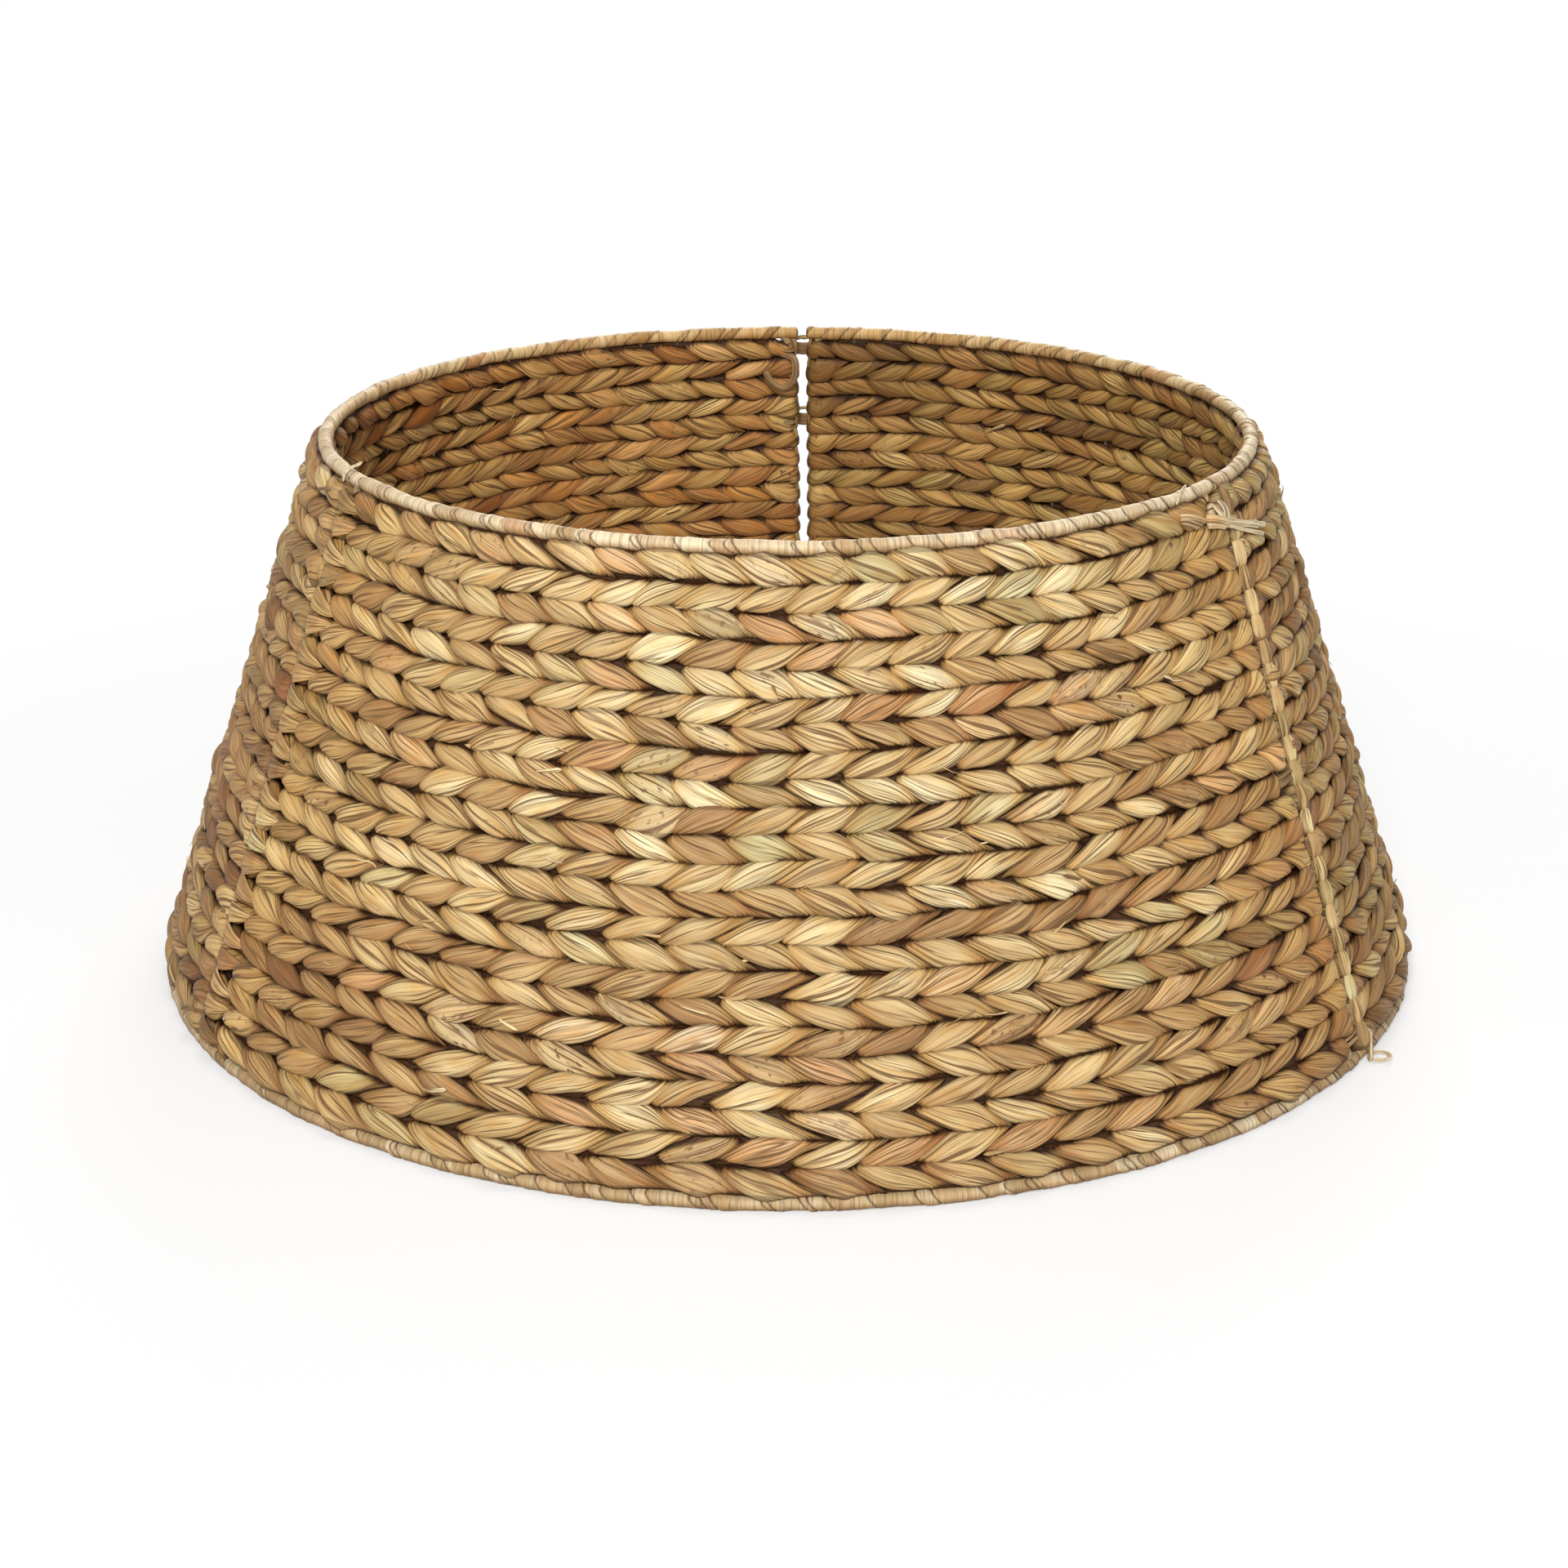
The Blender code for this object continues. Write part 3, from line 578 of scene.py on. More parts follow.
def add_row(skin, panel, row, rng, drift):
    """Two strands twisted round the stakes and joined round the side wires. Row 1 is at the rim."""
    along = WEAVE_START + (ROWS - row + 0.5) * ROW_PITCH
    spacing = panel_width(panel, along) / STITCHES
    lean = -1 if row % 2 else 1
    tied_low, tied_high = (row in rows for rows in TIED_ROWS[panel])
    count = STITCHES * STEPS_ALONG
    going = STITCHES * np.arange(count) / count
    coming = STITCHES - going
    shifts = rng.normal(0, SHIFT_SPREAD, STITCHES + 2).clip(-SHIFT_MOST, SHIFT_MOST)

    def uneven(stitch):
        return eased(shifts, stitch, "clip") * np.sin(np.clip(stitch / STITCHES, 0, 1) * pi) ** 0.5

    turning = (np.arange(TURN_STEPS) + 0.5) / TURN_STEPS * pi
    runs = []
    for stitch, strand, end, sign in ((going, 0, float(STITCHES), 1), (coming, 1, 0.0, -1)):
        up, out, facing, front = twist(stitch, lean, strand, uneven)
        centres = np.stack([stitch * spacing, up, out], axis=-1)
        runs.append((centres, facing, front, np.zeros_like(stitch), stitch))
        one_up, one_out, one_facing, _ = twist(np.array([end]), lean, strand, uneven)
        two_up, two_out = twist(np.array([end]), lean, 1 - strand, uneven)[:2]
        centres = np.stack([
            end * spacing + sign * EDGE_TURN * np.sin(turning),
            (one_up + two_up) / 2 + (one_up - two_up) / 2 * np.cos(turning),
            (one_out + two_out) / 2 + (one_out - two_out) / 2 * np.cos(turning),
        ], axis=-1)
        facing = np.stack([
            sign * np.sin(turning),
            one_facing[0, 1] * np.cos(turning) + 0.30 * np.sin(turning),
            one_facing[0, 2] * np.cos(turning),
        ], axis=-1)
        runs.append((centres, facing, np.ones(TURN_STEPS), np.sin(turning), np.full(TURN_STEPS, end)))

    centres, facing, front, edge, stitch = (np.concatenate(parts) for parts in zip(*runs))
    lap = 2 * STITCHES + 1
    loop = np.concatenate([going, STITCHES + turning / pi, lap - coming, lap + turning / pi])
    stitches = lap + 1

    wide, thick, lifted, pushed, rolled = (
        eased(rng.normal(mean, spread, stitches).clip(least, most), loop)
        for mean, spread, least, most in LEAF_VARIETY
    )
    calm = 1 - edge
    wide *= 1 - 0.07 * (0.5 - centres[:, 2] / (2 * TWIST_RADIUS)).clip(0, 1)
    half_width = STRAND_HALF_WIDTH * (CROSS_SHARE + (1 - CROSS_SHARE) * front) * wide * (1 - 0.08 * edge)
    outer = STRAND_OUTER * thick * calm + EDGE_HALF_THICKNESS * edge
    inner = STRAND_INNER * calm + EDGE_HALF_THICKNESS * edge
    bow = STRAND_BOW * calm
    centres[:, 1] += lifted * calm
    centres[:, 2] += pushed * calm
    facing[:, 1] += rolled * facing[:, 2] * calm

    run = run_of(centres)
    relief = fibre_relief(rng, run, STEPS_ROUND, 0.00011) * (1 - 0.4 * edge)[:, None]
    rings = sections(centres, facing, half_width, outer, inner, bow, STEPS_ROUND, True, relief)
    from_end = np.minimum(stitch, STITCHES - stitch).clip(0, 1)[:, None]
    rings[..., 0] += from_end * slant_of(lean, rings[..., 1], rings[..., 2])
    rings[..., 1] = rings[..., 1] * ROW_FLATTENING + drift(stitch)[:, None]
    nudge = {1: ROW_NUDGE, ROWS: -ROW_NUDGE}.get(row, 0.0)
    rings[..., 1] += nudge
    pinch_row(rings, tied_low, tied_high, STITCHES * spacing, PINCH.get(panel, 1.0))

    height = along + rings[..., 1]
    share = rings[..., 0] / spacing / STITCHES
    points = cone_points(azimuth_at(panel, share, height), height, rings[..., 2])

    tint = np.ones((*rings.shape[:2], 6))
    # Distance across the row, which the material turns into a painted shade line at the border between rows
    tint[..., BORDER] = np.abs(rings[..., 1] - drift(stitch)[:, None]) / (ROW_PITCH / 2)
    stalk = np.repeat(rng.normal(0, 0.15, stitches), rng.integers(2, 9, stitches))[:stitches]
    stalk_hue = np.repeat(rng.normal(0, 0.13, stitches), rng.integers(2, 9, stitches))[:stitches]
    tone = (PANEL_TONE[panel] + stalk + rng.normal(0, 0.12, stitches)).clip(0.08, 1.0)
    hue = (PANEL_HUE[panel] + stalk_hue + rng.normal(0, 0.11, stitches)).clip(0, 0.82)
    stain = (rng.random(stitches) < STAIN_SHARE) * rng.uniform(0.3, 1.0, stitches)
    tint[..., TONE] = eased(tone, loop)[:, None]
    tint[..., HUE] = eased(hue, loop)[:, None]
    tint[..., STAIN] = eased(stain, loop)[:, None]
    # The strands' inner faces: painted light and shade shift their hue and tone, and painted bounce light
    # warms them
    inner = (0.5 - rings[..., 2] / 0.006).clip(0, 1)
    ends = ((2 * stitch / STITCHES - 1) ** 2)[:, None] if panel == "front" else 1.0
    tint[..., HUE] = (tint[..., HUE] + INNER_HUE[panel] * inner).clip(0, 1)
    tint[..., TONE] += SEAM_PALENESS[panel] * (edge * (stitch < 1))[:, None]
    # Leaf tips where the strands cross: painted shade darkens them and painted bounce light warms them
    crossing = ((1 - front) ** 2)[:, None]
    tint[..., TONE] += INNER_TONE[panel] * inner - 0.20 * crossing
    tint[..., BOUNCE_TINT] = np.maximum(np.maximum(inner, SIDE_BOUNCE_WARMTH[panel] * ends), 0.75 * crossing)
    # Painted shade towards the front panel's side wires and over the side panels, and darker towards the
    # lower rows as painted falloff of the light
    tint[..., TONE] -= SIDE_DARKNESS * ends + 0.15 * (0.5 - along / SLANT)
    # Painted crevice shade where the straw lies deep in the row, at the strands' tucked edges and at the row
    # ends in the seam gap, with the turns at the row ends kept nearly clear of it
    depth = np.abs(rings[..., 2]) / (TWIST_RADIUS + STRAND_OUTER)
    depth = ((depth - DARK_BELOW) / DARK_SPAN).clip(0, 1)
    side = np.abs(np.sin(np.arange(STEPS_ROUND) * 2 * pi / STEPS_ROUND))
    tucked = 1 - 0.45 * ((side - 0.88) / 0.12).clip(0, 1) ** 1.5
    beyond = np.maximum(-rings[..., 0], rings[..., 0] - STITCHES * spacing)
    seam_shade = 1 - 0.75 * ((beyond - 0.0036) / 0.0030).clip(0, 1)
    tint[..., PAINTED_SHADE] = np.maximum(depth, edge[:, None] * 0.9) * tucked * seam_shade
    skin.add(points, tint, True, run, STRAND_GIRTH)
    add_core(skin, panel, rng, along, drift, nudge)
    add_torn_fibres(skin, panel, rng, lean, spacing, along, uneven)
    for high, kind in enumerate(EDGE_LEAVES[panel]):
        if kind:
            add_edge_leaf(skin, panel, high, rng, along, kind, lean)


def add_core(skin, panel, rng, along, drift, nudge):
    """The inner straw that the two strands close round, painted nearly black as the shade in the crevices
    between them.
    """
    stitch = np.linspace(-0.05, STITCHES + 0.05, 2 * STITCHES + 1)
    height = along + drift(stitch) + nudge
    path = cone_points(azimuth_at(panel, stitch / STITCHES, height), height, 0.0)
    outward = cone_points(azimuth_at(panel, 0.0, along), along, 1.0) - path[0]
    add_strand(skin, path, CORE_HALF_WIDTH, CORE_HALF_THICKNESS, rng, outward, (0.35, 0.5), 8, 0.0, 0.06)


def add_edge_leaf(skin, panel, high, rng, along, kind, lean):
    """A leaf at a row's end: a fan over the first stitch, or along the side wire, round or beside it."""
    lift, skew = rng.normal(0, 0.0003), rng.normal(0, 0.0006)
    if kind == "fan":
        slope = lean * rng.uniform(0.10, 0.26)
        route = [
            (-0.0054, 0.0008), (-0.0042, 0.0048), (0.0, 0.0075 + lift), (0.0060, 0.0083 + lift),
            (0.0125, 0.0074), (0.0190, 0.0042),
        ]
        route = [(x, (x - 0.004) * slope + skew, z) for x, z in route]
        towards, width, tone = (0.0, along, 0.001), rng.uniform(0.0048, 0.0060), 0.53
        lead, bluntness, warmth, ruddy = 0.62, 0.6, 0.36, 0.68
    elif kind == "corner":
        route = [
            (-0.0014, -0.0078, 0.0024), (-0.0031, -0.0058, 0.0050), (-0.0038 + skew, -0.0024, 0.0058 + lift),
            (-0.0038 + skew, 0.0020, 0.0059 + lift), (-0.0032, 0.0056, 0.0052), (-0.0015, 0.0076, 0.0028),
        ]
        towards, width, tone = (-0.0006, along, 0.0008), rng.uniform(0.0027, 0.0035), 0.56
        lead, bluntness, warmth, ruddy = 1.0, 0.55, 0.10, 0.42
    else:
        route = [
            (-0.0026, -0.0086, 0.0), (-0.0043 - lift, -0.0052, 0.0006), (-0.0050 - lift, 0.0, skew),
            (-0.0043 - lift, 0.0052, -0.0006), (-0.0026, 0.0086, 0.0),
        ]
        towards, width, tone = (-0.001, along, 0.0), rng.uniform(0.0030, 0.0040), 0.45
        lead, bluntness, warmth, ruddy = 1.0, 0.7, 0.5, 0.68
    path = edge_path(panel, high, along, route)
    share = np.linspace(0, 1, len(path)).clip(0.03, 0.97)
    width *= np.sin(pi * share ** lead) ** bluntness
    facing = np.subtract(*near_edge(panel, high, [towards, (0.0, along, 0.0)]))
    # The third value of the tint is painted warm bounce light, like that on the rows beside
    tint = (rng.normal(tone, 0.14), rng.choice([0.12, 0.25, 0.42, 0.5, ruddy]), warmth)
    add_strand(skin, path, width, 0.0009, rng, facing, tint, 16)


def add_torn_fibres(skin, panel, rng, lean, spacing, along, uneven):
    """Short fibres that have come loose from the strands' faces."""
    for _ in range(4):
        strand = rng.integers(0, 2)
        side = 1 if rng.random() < 0.7 else -1
        middle = rng.uniform(1.5, STITCHES - 1.5)
        reach = rng.uniform(0.16, 0.34)
        places = middle + np.linspace(-reach, reach, 9) * rng.choice([-1, 1])
        up, out, _, _ = twist(places, lean, strand, uneven)
        part = np.linspace(0, 1, 9)
        height = up + rng.uniform(-0.0035, 0.0035) + rng.uniform(-0.003, 0.003) * part ** 2
        off = side * (np.abs(out) + STRAND_OUTER - 0.0003 + rng.uniform(0.0006, 0.0022) * part ** 2)
        inward = (places * spacing + slant_of(lean, height, off)) / panel_width(panel, along)
        path = cone_points(azimuth_at(panel, inward, along + height), along + height, off)
        outward = cone_points(azimuth_at(panel, inward[:1], along), along, off[:1] + side) - path[:1]
        width = np.linspace(1.0, 0.35, 9) * rng.choice([0.00035, 0.0006, 0.0008, 0.0013])
        tint = (rng.uniform(0.35, 1.0), rng.uniform(0.3, 0.75))
        add_strand(skin, path, width, 0.00016, rng, outward[0], tint, 6, 0.00002)


def add_knot(skin):
    """Flat straws over the front panel's first row: a knot, and the root of the forked tie beside it."""
    rng = np.random.default_rng(990)
    knot = [
        (0.0345, 0.0014, 0.0074), (0.0330, 0.0010, 0.0098), (0.0280, -0.0010, 0.0102),
        (0.0228, -0.0034, 0.0096), (0.0212, -0.0040, 0.0074),
    ]
    root = [
        (0.0152, -0.0036, 0.0074), (0.0138, -0.0042, 0.0098), (0.0075, -0.0062, 0.0104),
        (0.0030, -0.0080, 0.0101), (0.0, -0.0088, 0.0092),
    ]
    for route, widths, tint, shade in (
        (knot, (0.0034, 0.0038), (0.86, 0.68), 0.76), (root, (0.0044, 0.0024), (0.90, 0.69), 0.97),
    ):
        path = edge_path("front", True, SLANT - TIE_END_PLACE, route, FINE_STEP)
        half_width = np.linspace(*widths, len(path))
        outward = path[0] * (1, 1, 0)
        add_strand(skin, path, half_width, TIE_HALF_THICKNESS, rng, outward, tint, 16, 0.00010, shade)


def build_weave(panel, index):
    body = panel + "_panel"
    rng = np.random.default_rng(100 + index)
    waves = [(rng.uniform(0, 6.28), rng.uniform(3, 9)) for _ in range(3)]

    def drift_of(row):
        own = rng.uniform(0, 2 * pi)

        def drift(stitch):
            total = sum(np.sin(stitch * 2 * pi / length + turn + row * 0.24) for turn, length in waves)
            free = sin(pi * (row - 0.5) / ROWS) ** 0.5
            return free * (ROW_SWAY * total + ROW_RIPPLE * np.sin(stitch * 1.7 + own))

        return drift

    for number, first in enumerate(range(1, ROWS + 1, BAND), 1):
        skin = Skin()
        for row in range(first, min(first + BAND, ROWS + 1)):
            add_row(skin, panel, row, rng, drift_of(row))
        if panel == "front" and number == 1:
            add_knot(skin)
        piece = skin.make(f"{panel}_weave_rows_{number}", WEAVE_STRAW)
        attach(piece, body)
        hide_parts(panel + "_weave")


# Wraps round the rim and base wires

# Half width and (inward, up, out) of strip ends that stick out at the rim
RIM_ENDS = {
    "left": (0.0015, [
        (-0.0030, -0.0030, 0.0040), (-0.0036, 0.0010, 0.0044), (-0.0040, 0.0044, 0.0022),
        (-0.0042, 0.0062, -0.0004), (-0.0044, 0.0082, -0.0022),
    ]),
    "front": (0.0011, [
        (0.0300, -0.0020, 0.0044), (0.0262, 0.0012, 0.0046), (0.0230, 0.0036, 0.0044),
        (0.0196, 0.0050, 0.0050),
    ]),
}


def build_wrap(panel, index, kind):
    at_rim = kind == "rim"
    along = SLANT if at_rim else 0.0
    rng = np.random.default_rng((700 if at_rim else 800) + index)
    width = panel_width(panel, along)
    start, end = -WRAP_OVERHANG, width + WRAP_OVERHANG
    count = int(width / WRAP_STEP)
    cap = np.array([0.0, 0.00003, 0.00012, 0.0003, 0.0006, 0.001, 0.0015])
    place = np.concatenate([start + cap, np.linspace(start + 0.002, end - 0.002, count), end - cap[::-1]])
    from_end = np.minimum(place - start, end - place)
    shrunk = np.sqrt(1 - (1 - (from_end / 0.0016).clip(0, 1)) ** 2).clip(0.03, 1)
    turn = np.arange(WRAP_SIDES) * 2 * pi / WRAP_SIDES

    edges = [start - 0.012]
    while edges[-1] < end + 0.02:
        edges.append(edges[-1] + rng.choice(STRIP_WIDTHS) * rng.uniform(0.85, 1.15))
    edges = np.array(edges)
    slants = rng.uniform(0.0015, 0.0070, len(edges))
    knuckles = rng.normal(0, 0.00020, len(edges)).clip(-0.00035, 0.0004)
    tones = rng.normal(0.84 if at_rim else 0.53, 0.15, len(edges)).clip(0.2, 1.0)
    hues = rng.normal(0.50 if at_rim else 0.25, 0.13, len(edges)).clip(0.24, 0.76)
    rear = {"left": 1 - place / width, "right": place / width}.get(panel, 0 * place).clip(0, 1)[:, None]

    wound = place[:, None] + WRAP_LEAN * np.sin(turn + 0.6)
    strip = np.clip(np.searchsorted(edges, wound) - 1, 0, len(edges) - 2)
    wound += (slants[strip] - WRAP_LEAN) * np.sin(turn)
    strip = np.clip(np.searchsorted(edges, wound) - 1, 0, len(edges) - 2)
    gap = wound - edges[strip]
    part = gap / (edges[strip + 1] - edges[strip])
    near = np.minimum(gap, edges[strip + 1] - wound)
    lip = 0.00045 * np.exp(-gap / 0.0030) - 0.00045 * np.exp(-(near / 0.0005) ** 2)
    ripple = wander(rng, wound, 0.013, 0.00008) + wander(rng, wound, 0.004, 0.00003)
    swell = knuckles[strip] * np.sin(pi * part.clip(0, 1)) ** 0.5
    radius = (WRAP_RADIUS - 0.00025 + lip + swell + ripple) * shrunk[:, None]

    sway = wander(rng, place, 0.09, 0.00035) * (from_end / 0.02).clip(0, 1)
    height = along + sway[:, None] + radius * np.cos(turn)
    off = radius * np.sin(turn)
    points = cone_points(azimuth_at(panel, (place / width)[:, None], height), height, off)
    points[..., 2] = np.maximum(points[..., 2], 0.0)

    tint = np.zeros((*height.shape, 6))
    # Painted shade on the wrap's underside, and at the rear on its inner side, which also gets painted warm
    # bounce light
    low_side = ((-np.cos(turn) + 0.1) / 1.1).clip(0, 1)
    inward_side = ((-np.sin(turn) + 0.4) / 0.8).clip(0, 1)
    underside_shade = (0.56 if at_rim else 0.90 * low_side) * low_side
    tint[..., TONE] = (tones[strip] + 0.14 * (part - 0.5) - underside_shade - 0.30 * rear * inward_side).clip(0, 1)
    tint[..., HUE] = hues[strip]
    tint[..., BOUNCE_TINT] = inward_side * (0.3 + 0.7 * rear)
    # Painted shade in the slits between strips and at the wrap's ends
    tint[..., PAINTED_SHADE] = 1 - 0.85 * np.exp(-(near / 0.00055) ** 2)
    tint[..., PAINTED_SHADE] *= (from_end / 0.0012).clip(0.2, 1)[:, None]
    skin = Skin()
    skin.add(points, tint, False, place - start, 2 * pi * WRAP_RADIUS)
    add_corner(skin, panel, False, at_rim, rng)
    add_corner(skin, panel, True, at_rim, rng)
    if at_rim and panel in RIM_ENDS:
        half_width, route = RIM_ENDS[panel]
        path = edge_path(panel, True, SLANT, route, FINE_STEP)
        add_strand(skin, path, half_width, 0.00028, rng, path[0] * (1, 1, 0), (0.9, 0.6), 10, 0.00003)
    piece = skin.make(f"{panel}_{kind}_straw", WRAP_STRAW)
    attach(piece, panel + "_panel")
    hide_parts(f"{panel}_{kind}_wrap")


def add_corner(skin, panel, high, at_rim, rng):
    """Straw round the wire's bend, down to the first row's edge."""
    end, inward = (SLANT, -1) if at_rim else (0.0, 1)
    turns = np.linspace(0, pi / 2, 5)
    bend = [(BEND_RADIUS * (1 - sin(turn)), BEND_RADIUS * (1 - cos(turn))) for turn in turns]
    corner = [(0.0115, 0.0), (0.0085, 0.0), *bend, (0.0, 0.0072)]
    path = edge_path(panel, high, end, [(x, inward * y, 0) for x, y in corner])
    radius = 0.0022 + 0.0010 * np.linspace(1, 0, len(path)) ** 0.4
    add_strand(skin, path, radius, radius, rng, (0, 0, 1), (0.55, 0.5), 14)


for order, panel_name in enumerate(PANELS):
    build_weave(panel_name, order)
    build_wrap(panel_name, order, "rim")
    build_wrap(panel_name, order, "base")


# Ties

def wound_route(spacing):
    """Two turns round two wires that far apart, or round one, as (away, up, out) from the first wire."""
    round_first = [(0.0, pi * 1.5 - pi * step / 4) for step in range(5)]
    round_second = [(spacing, pi * 0.5 - pi * step / 4) for step in range(5)]
    if not spacing:
        round_second = round_second[1:-1]
    one_turn = round_first + round_second
    places = one_turn + round_first + round_second[:1] * bool(spacing)
    middle = (len(places) - 1) / 2
    ups = [TURN_PITCH * (index - middle) / len(one_turn) for index in range(len(places))]
    return [
        (centre + TURN_RADIUS * cos(turn), up, TURN_RADIUS * sin(turn))
        for up, (centre, turn) in zip(ups, places)
    ]


def seam_axes(panel, high, along):
    """Place of the side wire, and the directions away from the panel, up the wire and out."""
    azimuth = PANELS[panel][high]
    away = np.array([cos(azimuth), sin(azimuth), 0.0]) * (1 if high else -1)
    up = np.array([OUT_SHARE * sin(azimuth), -OUT_SHARE * cos(azimuth), UP_SHARE])
    out = np.array([UP_SHARE * sin(azimuth), -UP_SHARE * cos(azimuth), -OUT_SHARE])
    origin = cone_points(azimuth_at(panel, float(high), along), along, 0.0)
    return origin, np.array([away, up, out])


def build_tie(node_name, body, panel, high, along, route, tail_from, seed, width, fibres, look, extras=()):
    """A wound straw with loose fibres, which part towards its free end from point tail_from on.

    look is (tone, hue, shade, how dull the turns are), width the half width at four places along the straw,
    and each extra is (half width, route, tone) of another end.
    """
    tone, hue, shade, dull = look
    rng = np.random.default_rng(seed)
    origin, axes = seam_axes(panel, high, along)
    path = origin + smooth_path(route, FINE_STEP) @ axes
    skin = Skin()
    share = np.linspace(0, 1, len(path))
    widths = np.interp(share, (0.58, 0.67, 0.80, 1.0), width)
    dimmed = np.interp(share, (0.55, 0.72), (tone * dull, tone))
    add_strand(skin, path, widths, TIE_HALF_THICKNESS, rng, -axes[2], (dimmed, hue), 16, 0.00009, shade)
    for half_width, extra, extra_tone in extras:
        path = origin + smooth_path(extra, PATH_STEP) @ axes
        add_strand(skin, path, half_width, 0.0007, rng, axes[2], (extra_tone, hue), 14, 0.00009, shade)
    tail = origin + smooth_path(route[tail_from:], PATH_STEP) @ axes
    part = np.linspace(0, 1, len(tail))[:, None]
    for _ in range(fibres):
        spread = [rng.uniform(*ends) for ends in ((-0.001, 0.003), (-0.0030, 0.0030), (0.0004, 0.0026))]
        first = np.array([0, rng.uniform(-0.0008, 0.0008), 0.0010])
        loose = tail + (first + (spread - first) * part ** 2) @ axes
        loose = loose[:int(len(loose) * rng.uniform(0.7, 1.0))]
        fibre = rng.uniform(0.00025, 0.0006)
        add_strand(skin, loose, fibre, fibre * 0.6, rng, axes[2], (tone + 0.1, hue), 6, 0.00002, shade)
    piece = skin.make(node_name + "_straw", TIE_STRAW)
    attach(piece, body)
    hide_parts(node_name)


def straight_tail(start, length, droop):
    """Free end along the side panel, which falls away there."""
    tail = []
    for part in (0.16, 0.35, 0.7, 1.0):
        reach = (0.0072 + length) * part
        fallen = (start[0] - HINGE_ROOM + reach) ** 2 / 2 / RIM_RADIUS
        out = TAIL_HEIGHT * min(1.0, 0.62 + reach / 0.018) - fallen + 0.0008 * part ** 3
        tail.append((start[0] + reach, start[1] - droop * part, out))
    return tail


def over_seam(away):
    """How far out a free end lies in front of the side panel, which falls away there."""
    return TAIL_HEIGHT - max(0.0, away - HINGE_ROOM) ** 2 / 2 / RIM_RADIUS


# Free ends through (away, up, out). FORK and its thinner second end PRONG go from the front side wire over
# the seam, level in front of the side panel. UPRIGHT comes down from the rim to the fork, BRIDGE is a
# crumpled leaf over the rear gap, just under the tie, and CURL hangs inside it.
FORK = [(away, up, over_seam(away)) for away, up in (
    (-0.0030, -0.0050), (-0.0015, -0.0085), (0.0057, -0.0110), (0.0186, -0.0143), (0.0333, -0.0175),
    (0.0435, -0.0198),
)]
PRONG = [(away, up, over_seam(away) - 0.0003) for away, up in (
    (0.0040, -0.0098), (0.0100, -0.0122), (0.0170, -0.0147), (0.0307, -0.0189), (0.0390, -0.0214),
)]
UPRIGHT = [
    (0.0040, 0.0012, 0.0052), (0.0034, -0.0020, 0.0076), (0.0024, -0.0055, 0.0086),
    (0.0012, -0.0090, 0.0084),
]
BRIDGE = [
    (-0.0050, -0.0045, 0.0040), (0.0020, -0.0058, 0.0072), (0.0090, -0.0064, 0.0070),
    (0.0165, -0.0056, 0.0064),
]
CURL = [
    (-0.0125, -0.0080, -0.0090), (-0.0085, -0.0150, -0.0094), (-0.0020, -0.0185, -0.0096),
    (0.0035, -0.0140, -0.0092), (0.0052, -0.0065, -0.0084), (0.0042, -0.0011, -0.0066),
]


def raised(start, route):
    """A route whose heights are given from a point of its tie."""
    return [(away, start[1] + up, out) for away, up, out in route]


def looped_tail(start):
    """Free end down to the floor, where it lies in a small open loop in front of the seam."""
    def on_floor(away, reach, high):
        rise = high - BASE_HEIGHT
        up = OUT_SHARE * reach + UP_SHARE * rise - TIE_END_PLACE
        return away, up, UP_SHARE * reach - OUT_SHARE * rise

    turns = [radians(-150 + 345 * step / 9) for step in range(10)]
    ring = [
        on_floor(0.0156 + 0.0058 * cos(turn), 0.0094 + 0.0048 * sin(turn), 0.0020 + 0.0001 * step)
        for step, turn in enumerate(turns)
    ]
    return [(start[0] + 0.0006, start[1] - 0.0034, 0.0078), on_floor(0.0128, 0.0062, 0.0046), *ring]


def build_ties():
    high_place = SLANT - TIE_END_PLACE
    places = {"top": high_place, "middle": SLANT / 2, "bottom": TIE_END_PLACE}
    for number, (side, high) in enumerate((("left", False), ("right", True))):
        for order, (place, along) in enumerate(places.items()):
            wound, extras = wound_route(2 * HINGE_ROOM), []
            if side == "right" and place == "top":
                wound = wound[:-1]
                tail, fibres, look = raised(wound[-1], FORK), 5, (1.0, 0.60, 1.0, 0.8)
                width = (0.0020, 0.0026, 0.0016, 0.0013)
                extras = [(0.0011, PRONG, 1.0), (0.0026, raised(wound[-1], UPRIGHT), 0.95)]
            elif side == "right" and place == "bottom":
                tail, fibres, look = looped_tail(wound[-1]), 2, (0.8, 0.5, 1.0, 0.3)
                width = (0.0010, 0.0010, 0.0009, 0.0006)
            else:
                tail, fibres, look = straight_tail(wound[-1], 0.005, 0.003), 3, (0.34, 0.5, 0.6, 1.0)
                width = (0.0022, 0.0022, 0.0021, 0.0012)
            build_tie(
                f"{side}_hinge_tie_{place}", side + "_panel", "front", high, along, wound + tail, len(wound),
                900 + 10 * number + order, width, fibres, look, extras,
            )
    rear_places = {"top": high_place, "upper": SLANT - 0.058, "bottom": TIE_END_PLACE}
    for order, (place, along) in enumerate(rear_places.items()):
        wound = wound_route(0)
        curl = raised(wound[0], CURL) if place == "top" else []
        end = raised(wound[-1], [(0.007, 0.0, TAIL_HEIGHT), (0.014, 0.0, TAIL_HEIGHT)])
        route = curl + wound + end
        build_tie(
            "rear_tie_" + place, "left_panel", "left", False, along, route, len(route) - 3, 950 + order,
            (0.0020, 0.0020, 0.0019, 0.0011), 4, (0.3, 0.6, 0.8, 1.0),
            [(0.0042, raised(wound[-1], BRIDGE), 0.3)],
        )


build_ties()


# Frame wires

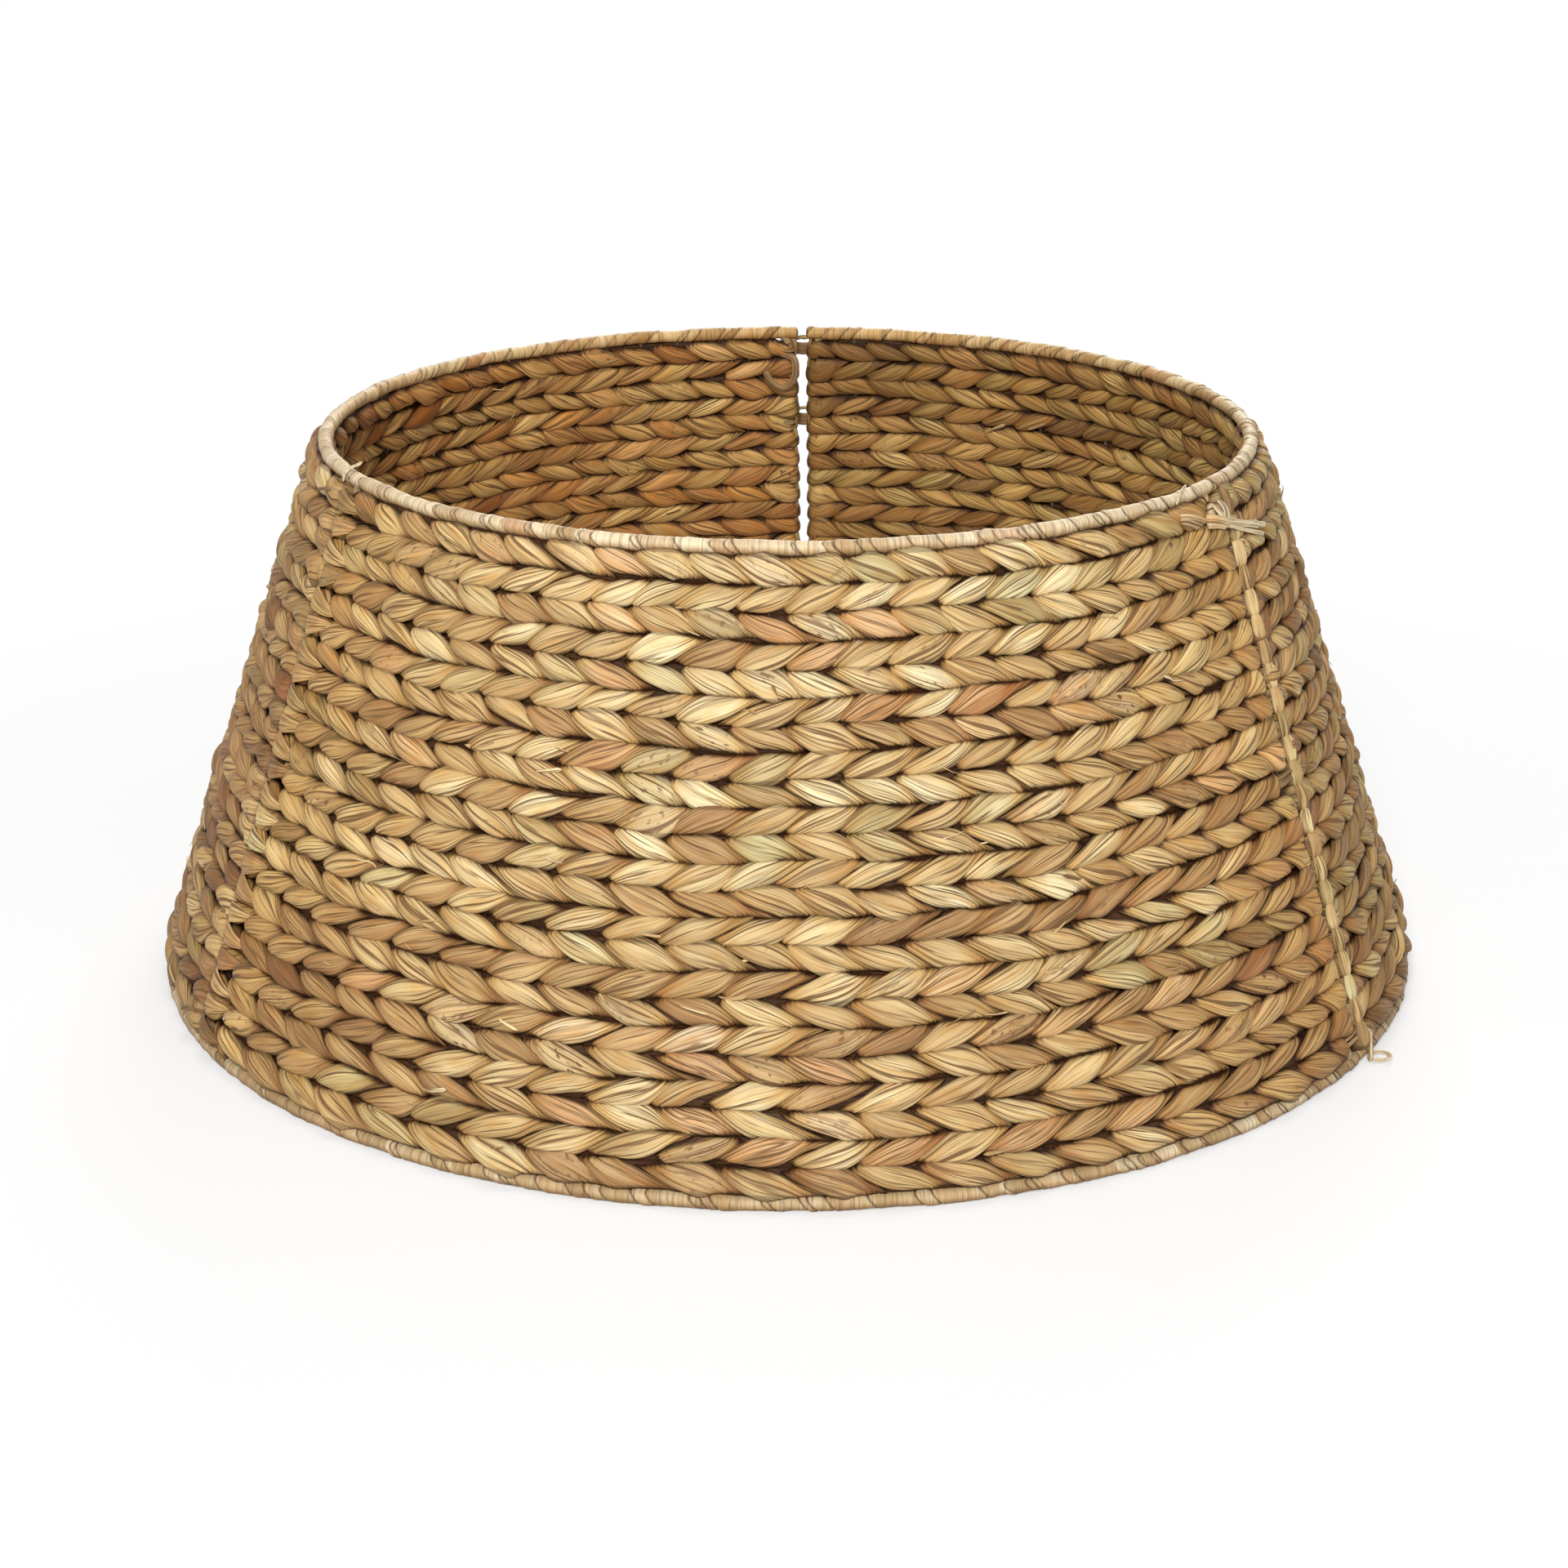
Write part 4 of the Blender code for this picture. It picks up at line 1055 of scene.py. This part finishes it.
def wire_material():
    material, tree, shader = new_material("dull_wire", 0.45, 0.85)
    places = node(tree, "ShaderNodeTexCoord").outputs["Object"]
    rust = noise(tree, places, 260.0, 4.0, 0.65)
    stops = [(0.35, (0.30, 0.27, 0.24)), (0.6, (0.16, 0.12, 0.09)), (0.75, (0.26, 0.12, 0.05))]
    colour = ramp(tree, stops, rust)
    link(tree, colour, shader.inputs["Base Color"])
    link(tree, span(tree, rust, 0.3, 0.7, 0.35, 0.7), shader.inputs["Roughness"])
    return material


WIRE = wire_material()
for panel_name in PANELS:
    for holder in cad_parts[panel_name + "_frame"].material_slots:
        holder.link = "OBJECT"
        holder.material = WIRE


# Floor, light and camera

def looked_at(tree):
    """1 for what the camera sees, straight, mirrored or through glass, and 0 for light on the collar."""
    paths = tree.nodes.new("ShaderNodeLightPath")
    mirrored = maths(tree, "MAXIMUM", paths.outputs["Is Camera Ray"], paths.outputs["Is Glossy Ray"])
    return maths(tree, "MAXIMUM", mirrored, paths.outputs["Is Transmission Ray"])


def white_stage():
    """White floor, which keeps the shadow near the collar, and a white surround."""
    bpy.ops.mesh.primitive_plane_add(size=14, location=(0, 0, -0.0004))
    floor = bpy.context.object
    floor.name = "studio_floor"
    material, tree, shader = new_material("studio_white", 0.9)
    tree.nodes.remove(shader)
    matt = node(tree, "ShaderNodeBsdfDiffuse", Color=(0.93, 0.93, 0.93, 1))
    glow = node(tree, "ShaderNodeEmission", Strength=1.0)
    away = node(tree, "ShaderNodeVectorMath", operation="LENGTH")
    link(tree, node(tree, "ShaderNodeTexCoord").outputs["Object"], away.inputs[0])
    share = span(tree, away.outputs["Value"], 0.36, 0.75, 0.45, 1.0)
    mix = tree.nodes.new("ShaderNodeMixShader")
    link(tree, maths(tree, "MULTIPLY", looked_at(tree), share), mix.inputs["Fac"])
    link(tree, matt.outputs[0], mix.inputs[1])
    link(tree, glow.outputs[0], mix.inputs[2])
    link(tree, mix.outputs[0], tree.nodes["Material Output"].inputs["Surface"])
    floor.data.materials.append(material)

    world = bpy.data.worlds.new("studio")
    bpy.context.scene.world = world
    world.use_nodes = True
    tree = world.node_tree
    back = tree.nodes["Background"].inputs
    back["Color"].default_value = (1, 1, 1, 1)
    link(tree, span(tree, looked_at(tree), 0.0, 1.0, 0.20, 1.0), back["Strength"])


def aimed(name, data, place, direction):
    holder = placed(name, data)
    holder.location = place
    holder.rotation_mode = "QUATERNION"
    holder.rotation_quaternion = direction.to_track_quat("-Z", "Y")
    return holder


def add_lamp(name, place, aim, size, power):
    lamp = bpy.data.lights.new(name, "AREA")
    lamp.shape, lamp.size, lamp.energy = "DISK", size, power
    aimed(name, lamp, place, Vector(aim) - Vector(place))


white_stage()
add_lamp("key", (-0.25, -2.7, 1.9), (0, 0, 0.12), 1.0, 82)
add_lamp("fill", (1.5, -2.2, 1.2), (0, 0, 0.12), 1.4, 7)
add_lamp("top", (0.0, 0.2, 2.6), (0, 0, 0.1), 1.4, 17)
add_lamp("back", (0.3, 2.7, 1.7), (0, 0, 0.12), 1.6, 38)

# Picture, focal length and shift of the camera in the photo's pixels, and its sensor in millimetres
PICTURE, FOCAL, SHIFT, SENSOR = 1920, 3784, (-5, 37), 36
aim = Vector((0, 0, 0.065))
swing, rise, distance = radians(2.0), radians(20.4), 1.638
back = Vector((sin(swing) * cos(rise), -cos(swing) * cos(rise), sin(rise)))
camera = aimed("camera", bpy.data.cameras.new("camera"), aim + distance * back, -back)
camera.data.sensor_width = SENSOR
camera.data.lens = FOCAL / PICTURE * SENSOR
camera.data.shift_x = SHIFT[0] / PICTURE
camera.data.shift_y = SHIFT[1] / PICTURE
bpy.context.scene.camera = camera
bpy.context.scene.view_settings.view_transform = "Standard"
